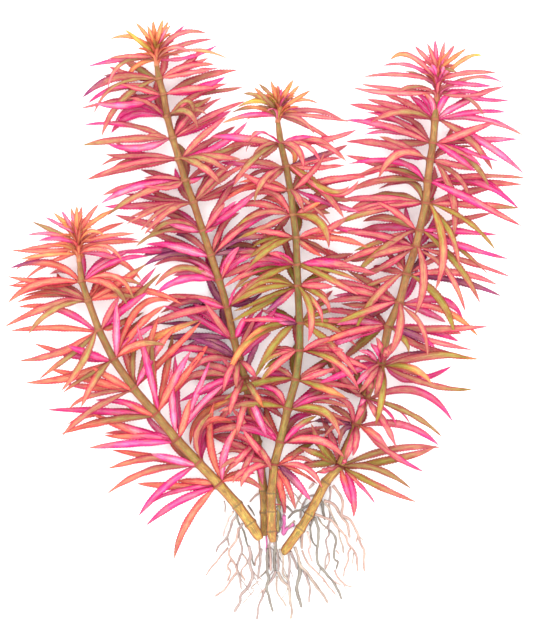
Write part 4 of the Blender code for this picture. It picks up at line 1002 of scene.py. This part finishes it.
def bud_leaves(bud, letters, draw):
    """Young leaves crowded on a bud: a tuft fanned at its end, and shorter and shorter ones below.

    Those below stand at 0.618 of a turn from one to the next over the upper side. They leave the bud
    steeply and turn outward, the lowest the furthest.
    """
    tangent = unit(bud[-1] - bud[0])
    side = unit(np.cross(tangent, UP))
    leaves = []
    for number in range(BUD_LEAVES):
        share = number / (BUD_LEAVES - 1)
        around = math.radians(-20 + 220 * (number * 0.618 % 1))
        out = side * math.cos(around) + UP * math.sin(around)
        open_by = math.radians(blend_of(72.0, 30.0, share) + draw.uniform(-8, 8))
        reach = blend_of(15.0, 9.5, share) * draw.uniform(0.85, 1.1)
        root = blend_of(bud[0], bud[2], share) + out * blend_of(1.2, 0.5, share)
        tip = root + (tangent * math.cos(open_by) + out * math.sin(open_by)) * reach
        control = root + (tangent * 0.8 + out * 0.3) * reach * 0.5
        facing = unit(UP * (1.1 - abs(math.sin(around))) + tangent * 0.7)
        leaves.append(Leaf(root, control, tip, facing, blend_of(2.5, 1.7, share),
                           letters[int(draw.integers(len(letters)))]))
    for number in range(TUFT_LEAVES):
        turn = math.radians(-64 + 128 * number / (TUFT_LEAVES - 1)) + draw.uniform(-0.07, 0.07)
        lift = draw.uniform(-0.35, 0.75)
        reach = draw.uniform(9.5, 14.5)
        way = unit(tangent * math.cos(turn) + side * math.sin(turn) + UP * lift)
        root = bud[2] + tangent * draw.uniform(-1.5, 2.0)
        control = root + way * reach * 0.5 + tangent * reach * 0.18 - UP * lift * 2.0
        leaves.append(Leaf(root, control, root + way * reach, unit(UP + tangent * 0.4),
                           draw.uniform(1.4, 2.0), letters[int(draw.integers(len(letters)))]))
    return leaves


def make_shoot_tip(shoot_name, material, draw):
    """The bud's young leaves, those of the solid and a tuft of the smallest round the end."""
    node = shoot_name + "_shoot_tip"
    line = LINES[shoot_name]
    bud = np.array([(x, y, line.points[-1][2]) for x, y in STEMS[shoot_name]["bud"]])
    tangent = unit(bud[-1] - bud[0])
    readings = read(LEAVES[node])
    leaves = [leaf_from_solid(limb) for limb in limbs_of(node)]
    for leaf in leaves:
        nearest = bud[0] + tangent * float((leaf.root - bud[0]) @ tangent)
        leaf.root = blend_of(leaf.root, nearest, 0.6)
    left = take_readings(leaves, readings, draw, TIP_MATCH)
    leaves += [leaf_to(reading, bud[1], tangent, 1.5, YOUNG_LEAF_WIDTH, draw) for reading in left]
    leaves += bud_leaves(bud, STEMS[shoot_name]["young"], draw)
    piece = Piece(node + "_leaves")
    add_leaves(piece, leaves, tangent, draw)
    path = np.linspace(bud[0] - tangent * 1.5, bud[-1] - tangent * 2.0, BUD_RINGS)
    radius = line.radii[-1] * np.linspace(0.8, 0.3, BUD_RINGS)
    points, quads, triangles, _ = closed_tube(path, radius, BUD_AROUND)
    tone = linear(BUD_TONE)
    piece.add(points, quads, triangles, grown=points, place=np.array((0.1, 0.5, 0.0)), tone_ground=tone,
              tone_stripe=tone, tone_margin=tone)
    piece.make(material, [node])


# Roots


def smooth_path(points):
    """A curve through points by the Catmull-Rom rule, with points about a root's step apart."""
    ends = np.concatenate((points[:1] * 2 - points[1:2], points, points[-1:] * 2 - points[-2:-1]))
    pieces = []
    for number in range(1, len(points)):
        p0, p1, p2, p3 = ends[number - 1:number + 3]
        count = max(3, int(np.linalg.norm(p2 - p1) / ROOT_STEP))
        t = np.linspace(0, 1, count, endpoint=number == len(points) - 1)[:, None]
        pieces.append(0.5 * (2 * p1 + (p2 - p0) * t + (2 * p0 - 5 * p1 + 4 * p2 - p3) * t ** 2
                             + (3 * p1 - 3 * p2 + p3 - p0) * t ** 3))
    return np.concatenate(pieces)


def wander(path, amount, draw):
    """A path shaken sideways by three sines of its length, growing over its first 8 mm."""
    lengths = lengths_along(path)
    side, upper = across_path(path)
    shake = np.zeros((2, len(path)))
    for wave, swing in ((17.0, 0.6), (8.5, 0.35), (4.3, 0.12)):
        phase = draw.uniform(0, FULL_TURN, 2)[:, None]
        shake += np.sin(lengths[None, :] * FULL_TURN / wave + phase) * swing
    grown = np.clip(lengths / 8, 0, 1)
    moved = path + amount * grown[:, None] * (shake[0][:, None] * side + 0.4 * shake[1][:, None] * upper)
    moved[:, 2] = np.maximum(moved[:, 2], LOWEST_ROOT + PLANT_MIDDLE[2])
    return moved


def add_root(piece, path, thick, tone, draw):
    """One thread root: a blunt tube with faint swellings, with painted shade that darkens its sides and
    under side.

    Its radius falls to 0.8 of the thick end's, times 1 + 0.13 sin(0.9 l + a) sin(0.37 l) for l mm along.
    """
    lengths = lengths_along(path)
    swelling = 1 + 0.13 * np.sin(lengths * 0.9 + draw.uniform(0, 6)) * np.sin(lengths * 0.37)
    blunt = np.sqrt(np.clip((lengths[-1] - lengths + 0.15) / 0.9, 0.05, 1))
    radius = thick * blend_of(1.0, 0.8, lengths / lengths[-1]) * swelling * blunt
    points, quads, triangles, angle = closed_tube(path, radius, ROOT_AROUND)
    # Painted shade: the tone is full on the upper side of the tube and falls to half on its sides and under
    # side.
    lit = 0.5 + 0.5 * np.clip(np.sin(angle), 0, 1) ** 0.8
    tones = np.broadcast_to(lit[None, :, None] * tone, (len(path), ROOT_AROUND, 3)).reshape(-1, 3)
    tones = np.concatenate((tones, tones[:1], tones[-1:]))
    piece.add(points, quads, triangles, grown=points, tone_ground=tones)


def laid_path(places, start_height, draw):
    """A path through places in the plane that sinks by a smooth step to rest near the surface."""
    share = np.linspace(0, 1, len(places))
    heights = blend_of(start_height, draw.uniform(1.1, 2.6), smooth_step(share / 0.6))
    return smooth_path(np.column_stack((places, heights)))


def make_roots(shoot_name, material, draw):
    """The roots read for a shoot, and a few finer ones that branch off."""
    node = shoot_name + "_roots"
    piece = Piece(node + "_threads")
    tones = {letter: linear(colour) for letter, colour in ROOT_TONES.items()}
    seat = LINES[shoot_name].points[0][2]
    for text in THREADS[shoot_name]:
        code, places = text.split(" ", 1)
        places = np.array([[float(number) for number in place.split()] for place in places.split(",")])
        tone, thick = tones[code[0].lower()], int(code[1]) * RADIUS_UNIT
        path = laid_path(places, seat if code[0].isupper() else 2.0, draw)
        path = wander(path, 0.3, draw)
        add_root(piece, path, thick, tone, draw)
        if draw.uniform() < FINE_ROOT_CHANCE and len(path) > BRANCHING_POINTS:
            start = path[int(len(path) * draw.uniform(0.3, 0.85))]
            heading = np.array((draw.choice((-1, 1)) * draw.uniform(0.3, 0.8), -1.0, 0.0))
            end = start + heading * draw.uniform(5, 12)
            end[1] = max(end[1], FINE_ROOT_END)
            middle = blend_of(start, end, 0.5) + np.array((draw.uniform(-1, 1), 0, 0))
            middle[2], end[2] = blend_of(start[2], LOWEST_ROOT, 0.7), LOWEST_ROOT
            fine = wander(smooth_path(np.array((start, middle, end))), 0.5, draw)
            add_root(piece, fine, min(FINE_ROOT_RADIUS, thick * 0.7), tone, draw)
    piece.make(material, [node])


# Materials


class Net:
    """Nodes of a material or group, made and joined in one call each."""

    def __init__(self, tree):
        self.tree = tree

    def node(self, kind, **settings):
        made = self.tree.nodes.new(kind)
        for key, value in settings.items():
            setattr(made, key, value)
        return made

    def put(self, socket, value):
        """Join an output to a socket, or set the socket to a constant."""
        if isinstance(value, bpy.types.NodeSocket):
            self.tree.links.new(value, socket)
        else:
            socket.default_value = value

    def math(self, operation, *values):
        made = self.node("ShaderNodeMath", operation=operation)
        for socket, value in zip(made.inputs, values):
            self.put(socket, value)
        return made.outputs[0]

    def ramp(self, value, low, high, start=0.0, end=1.0):
        """Smooth step of a value from low to high, put out from start to end."""
        made = self.node("ShaderNodeMapRange", interpolation_type="SMOOTHSTEP")
        for name, item in (("Value", value), ("From Min", low), ("From Max", high), ("To Min", start),
                           ("To Max", end)):
            self.put(made.inputs[name], item)
        return made.outputs["Result"]

    def mix(self, share, first, second, how="MIX"):
        made = self.node("ShaderNodeMix", data_type="RGBA", blend_type=how, clamp_factor=True)
        self.put(made.inputs["Factor"], share)
        self.put(made.inputs[6], first)
        self.put(made.inputs[7], second)
        return made.outputs[2]

    def noise(self, vector, scale, detail=2.0, rough=0.5):
        made = self.node("ShaderNodeTexNoise")
        self.put(made.inputs["Vector"], vector)
        made.inputs["Scale"].default_value = scale
        made.inputs["Detail"].default_value = detail
        made.inputs["Roughness"].default_value = rough
        return made.outputs["Fac"]

    def parts(self, vector):
        """X, Y and Z of a vector."""
        made = self.node("ShaderNodeSeparateXYZ")
        self.put(made.inputs[0], vector)
        return made.outputs

    def stretched(self, vector, scale):
        made = self.node("ShaderNodeVectorMath", operation="MULTIPLY")
        self.put(made.inputs[0], vector)
        made.inputs[1].default_value = scale
        return made.outputs[0]

    def attribute(self, name, output="Vector"):
        return self.node("ShaderNodeAttribute", attribute_name=name).outputs[output]

    def group(self, tree, **values):
        made = self.node("ShaderNodeGroup", node_tree=tree)
        for name, value in values.items():
            self.put(made.inputs[name], value)
        return made.outputs


def new_group(name, takes, gives):
    """A shader node group with named inputs and outputs of kinds Color, Vector or Float."""
    tree = bpy.data.node_groups.new(name, "ShaderNodeTree")
    for way, sockets in (("INPUT", takes), ("OUTPUT", gives)):
        for socket, kind in sockets.items():
            tree.interface.new_socket(socket, in_out=way, socket_type="NodeSocket" + kind)
    net = Net(tree)
    return net, net.node("NodeGroupInput").outputs, net.node("NodeGroupOutput").inputs


def wash_group():
    """Uneven watercolour wash: a colour made lighter and darker in soft patches and fine grain."""
    net, takes, gives = new_group("uneven_wash",
                                  {"Colour": "Color", "Grown": "Vector", "Strength": "Float"},
                                  {"Colour": "Color", "Patches": "Float"})
    patches = net.noise(takes["Grown"], 0.22, 3.0)
    grain = net.noise(takes["Grown"], 1.6, 2.0)
    both = net.math("ADD", net.math("MULTIPLY", patches, 0.6), net.math("MULTIPLY", grain, 0.4))
    light = net.ramp(both, 0.38, 0.62)
    darker = net.mix(1.0, takes["Colour"], (0.74, 0.60, 0.62, 1.0), "MULTIPLY")
    lighter = net.mix(1.0, takes["Colour"], (1.22, 1.26, 1.18, 1.0), "MULTIPLY")
    varied = net.mix(light, darker, lighter)
    net.put(gives["Colour"], net.mix(takes["Strength"], takes["Colour"], varied))
    net.put(gives["Patches"], light)
    return net.tree


def lines_group():
    """Fine lengthwise lines: noise drawn out along the piece, as a mask and a height."""
    net, takes, gives = new_group("lengthwise_lines", {"Grown": "Vector"},
                                  {"Lines": "Float", "Height": "Float"})
    drawn = net.stretched(takes["Grown"], (1.0, 1.0, 0.06))
    fine = net.noise(drawn, 3.4, 2.0, 0.6)
    net.put(gives["Lines"], net.ramp(fine, 0.48, 0.66))
    net.put(gives["Height"], fine)
    return net.tree


def blade_group():
    """Marks of a leaf blade: middle stripe, margin, edge, side veins and their height.

    The stripe is strongest where |v| is small and fades toward the tip, the margin and edge where |v|
    is near 1, and the side veins are waves of the length along the blade less 1.3 times the distance
    from its middle.
    """
    net, takes, gives = new_group("blade_marks", {"Place": "Vector", "Grown": "Vector"},
                                  {"Stripe": "Float", "Margin": "Float", "Edge": "Float", "Veins": "Float",
                                   "Height": "Float"})
    place, grown = net.parts(takes["Place"]), net.parts(takes["Grown"])
    outward = net.math("ABSOLUTE", place["Y"])
    wobble = net.noise(takes["Grown"], 0.9, 2.0)
    loose = net.math("ADD", outward, net.math("MULTIPLY", net.math("SUBTRACT", wobble, 0.5), 0.35))
    stripe = net.ramp(loose, 0.10, 0.42, 1.0, 0.0)
    fading = net.ramp(place["X"], 0.55, 0.95, 1.0, 0.2)
    net.put(gives["Stripe"], net.math("MULTIPLY", stripe, fading))
    net.put(gives["Margin"], net.ramp(loose, 0.52, 0.82))
    net.put(gives["Edge"], net.ramp(outward, 0.78, 0.96))
    slanted = net.math("SUBTRACT", grown["Z"], net.math("MULTIPLY", net.math("ABSOLUTE", grown["X"]), 1.3))
    wave = net.math("SINE", net.math("MULTIPLY", slanted, 3.6))
    veins = net.ramp(wave, 0.45, 1.0)
    net.put(gives["Veins"], veins)
    rib = net.ramp(outward, 0.02, 0.16, 1.0, 0.0)
    net.put(gives["Height"], net.math("SUBTRACT", net.math("MULTIPLY", veins, 0.35), rib))
    return net.tree


WASH, DRAWN_LINES, BLADE_MARKS = wash_group(), lines_group(), blade_group()


def paint(tone):
    """A tone as a shader's colour."""
    return (*linear(tone), 1)


def plain_material(name, roughness):
    """A material that is no metal, and its shader."""
    material = bpy.data.materials.new(name)
    material.use_nodes = True
    shader = material.node_tree.nodes["Principled BSDF"]
    shader.inputs["Metallic"].default_value = 0.0
    shader.inputs["Roughness"].default_value = roughness
    return material, shader


def washed_material(name, roughness, gloss, wash, smoother=0.08):
    """A material, its net and shader, a piece's grown coordinates and its washed ground colour.

    Light patches of the wash are smoother than dark ones.
    """
    material, shader = plain_material(name, roughness)
    shader.inputs["Specular IOR Level"].default_value = gloss
    net = Net(material.node_tree)
    grown = net.attribute("grown")
    ground = net.group(WASH, Colour=net.attribute("tone_ground", "Color"), Grown=grown, Strength=wash)
    net.put(shader.inputs["Roughness"], net.ramp(ground["Patches"], 0.0, 1.0, roughness + smoother,
                                                 roughness - smoother))
    return material, net, shader, grown, ground


def bump(net, shader, height, distance):
    """Height carried to the shader's normal."""
    made = net.node("ShaderNodeBump")
    made.inputs["Distance"].default_value = distance
    made.inputs["Strength"].default_value = 0.8
    net.put(made.inputs["Height"], height)
    net.put(shader.inputs["Normal"], made.outputs["Normal"])


def leaf_material(name, roughness, gloss, wash):
    """Leaf blades: washed ground tanned in patches, pale middle stripe, lines, veins, dark margin."""
    material, net, shader, grown, ground = washed_material(name, roughness, gloss, wash)
    marks = net.group(BLADE_MARKS, Place=net.attribute("place"), Grown=grown)
    lines = net.group(DRAWN_LINES, Grown=grown)
    stripe, margin = net.attribute("tone_stripe", "Color"), net.attribute("tone_margin", "Color")
    outline = net.mix(1.0, margin, (0.42, 0.40, 0.42, 1.0), "MULTIPLY")
    tanned = net.ramp(net.noise(net.stretched(grown, (1.0, 1.0, 0.3)), 0.45), 0.44, 0.60, 0.0, 0.42)
    colour = net.mix(tanned, ground["Colour"], paint(TAN))
    for mask, share, tone in ((marks["Stripe"], 0.6, stripe), (lines["Lines"], 0.75, margin),
                              (marks["Veins"], 0.12, margin), (marks["Margin"], 0.85, margin),
                              (marks["Edge"], 0.65, outline)):
        colour = net.mix(net.math("MULTIPLY", mask, share), colour, tone)
    net.put(shader.inputs["Base Color"], colour)
    height = net.math("ADD", marks["Height"], net.math("MULTIPLY", lines["Height"], 0.5))
    bump(net, shader, height, 0.0004)
    return material


def stem_material():
    """Stems: washed ground, olive and straw patches, rust and dark lines, painted shade in rust then dark
    toward the flanks, and dark rings.
    """
    material, net, shader, grown, ground = washed_material("stem_skin", 0.5, 0.25, 0.8)
    place = net.parts(net.attribute("place"))
    lines = net.group(DRAWN_LINES, Grown=grown)
    greener = net.ramp(net.noise(net.stretched(grown, (1.0, 1.0, 0.12)), 0.9), 0.5, 0.62, 0.0, 0.65)
    paler = net.ramp(net.noise(net.stretched(grown, (0.9, 0.9, 0.16)), 1.1), 0.54, 0.68, 0.0, 0.6)
    near_foot = net.ramp(place["X"], 0.12, 0.35, 1.0, 0.2)
    thin = net.ramp(net.noise(net.stretched(grown, (1.3, 1.3, 0.1)), 2.2, 3.0, 0.6), 0.54, 0.64, 0.0, 0.75)
    colour = ground["Colour"]
    for share, mark in ((greener, "olive"), (net.math("MULTIPLY", paler, near_foot), "straw"),
                        (net.math("MULTIPLY", lines["Lines"], 0.55), "rust"), (thin, "dark"),
                        # Painted shade: these two bands darken the stem toward its flanks, rust and then
                        # dark, where the round stem turns from the light.
                        (net.ramp(place["Y"], 0.55, 0.86, 0.0, 0.6), "rust"),
                        (net.ramp(place["Y"], 0.80, 0.95, 0.0, 0.85), "dark"),
                        (net.ramp(place["Z"], 0.66, 0.96, 0.0, 0.75), "ring")):
        colour = net.mix(share, colour, paint(STEM_MARKS_AND_SHADE[mark]))
    net.put(shader.inputs["Base Color"], colour)
    bump(net, shader, lines["Height"], 0.0002)
    return material


def root_material():
    """Thread roots: their ground colour, washed."""
    material, net, shader, _, ground = washed_material("root_skin", 0.6, 0.5, 0.5, smoother=0.1)
    net.put(shader.inputs["Base Color"], ground["Colour"])
    bump(net, shader, ground["Patches"], 0.0001)
    return material


# The plant


LEAF = leaf_material("leaf_blade", 0.6, 0.12, 1.1)
YOUNG = leaf_material("young_leaf", 0.5, 0.25, 0.6)
STEM = stem_material()
ROOT = root_material()

for order, (shoot_name, shoot) in enumerate(STEMS.items()):
    draw = np.random.default_rng(FIRST_SEED + order)
    make_stem(shoot_name, STEM)
    make_roots(shoot_name, ROOT, draw)
    make_shoot_tip(shoot_name, YOUNG, draw)
    for number, ring in enumerate(reversed(shoot["rings"]), start=1):
        make_whorl(f"{shoot_name}_whorl_{number:02d}", shoot_name, ring, LEAF, draw)
for name, (shoot_name, ring, text) in HIDDEN_WHORLS.items():
    make_hidden_whorl(name, shoot_name, ring, text, LEAF, np.random.default_rng(len(name)))


# Surface, light and camera


def make_floor():
    """Plain pale floor, wide enough to fill every view."""
    mesh = bpy.data.meshes.new("pale_floor")
    corners = [(x * FLOOR_REACH, y * FLOOR_REACH, 0) for x, y in ((-1, -1), (1, -1), (1, 1), (-1, 1))]
    mesh.from_pydata(corners, [], [(0, 1, 2, 3)])
    material, shader = plain_material("pale_floor", 0.9)
    shader.inputs["Base Color"].default_value = FLOOR_COLOUR
    mesh.materials.append(material)
    set_down("pale_floor", mesh)


def make_light():
    """A white surround, and a square soft lamp that looks at the frame's origin."""
    world = bpy.data.worlds.new("studio")
    bpy.context.scene.world = world
    world.use_nodes = True
    background = world.node_tree.nodes["Background"]
    background.inputs["Color"].default_value = (1, 1, 1, 1)
    background.inputs["Strength"].default_value = SURROUND_STRENGTH
    light = bpy.data.lights.new("soft_key", "AREA")
    light.size, light.energy = KEY_SIZE, KEY_POWER
    lamp = set_down("soft_key", light)
    lamp.location = KEY_PLACE
    x, y, z = KEY_PLACE
    lamp.rotation_euler = (math.acos(z / math.hypot(x, y, z)), 0, math.atan2(-y, -x) - math.pi / 2)


def make_camera():
    """The camera straight over the plant, its picture as tall as named on the picture's plane."""
    lens = bpy.data.cameras.new("camera")
    lens.sensor_fit = "VERTICAL"
    lens.sensor_height = SENSOR_HEIGHT
    lens.lens = SENSOR_HEIGHT * (CAMERA_HEIGHT - PICTURE_PLANE) / FRAME_TALL
    camera = set_down("camera", lens)
    camera.location = (*CAMERA_OVER, CAMERA_HEIGHT)
    bpy.context.scene.camera = camera


bpy.context.scene.view_settings.view_transform = "Standard"
make_floor()
make_light()
make_camera()
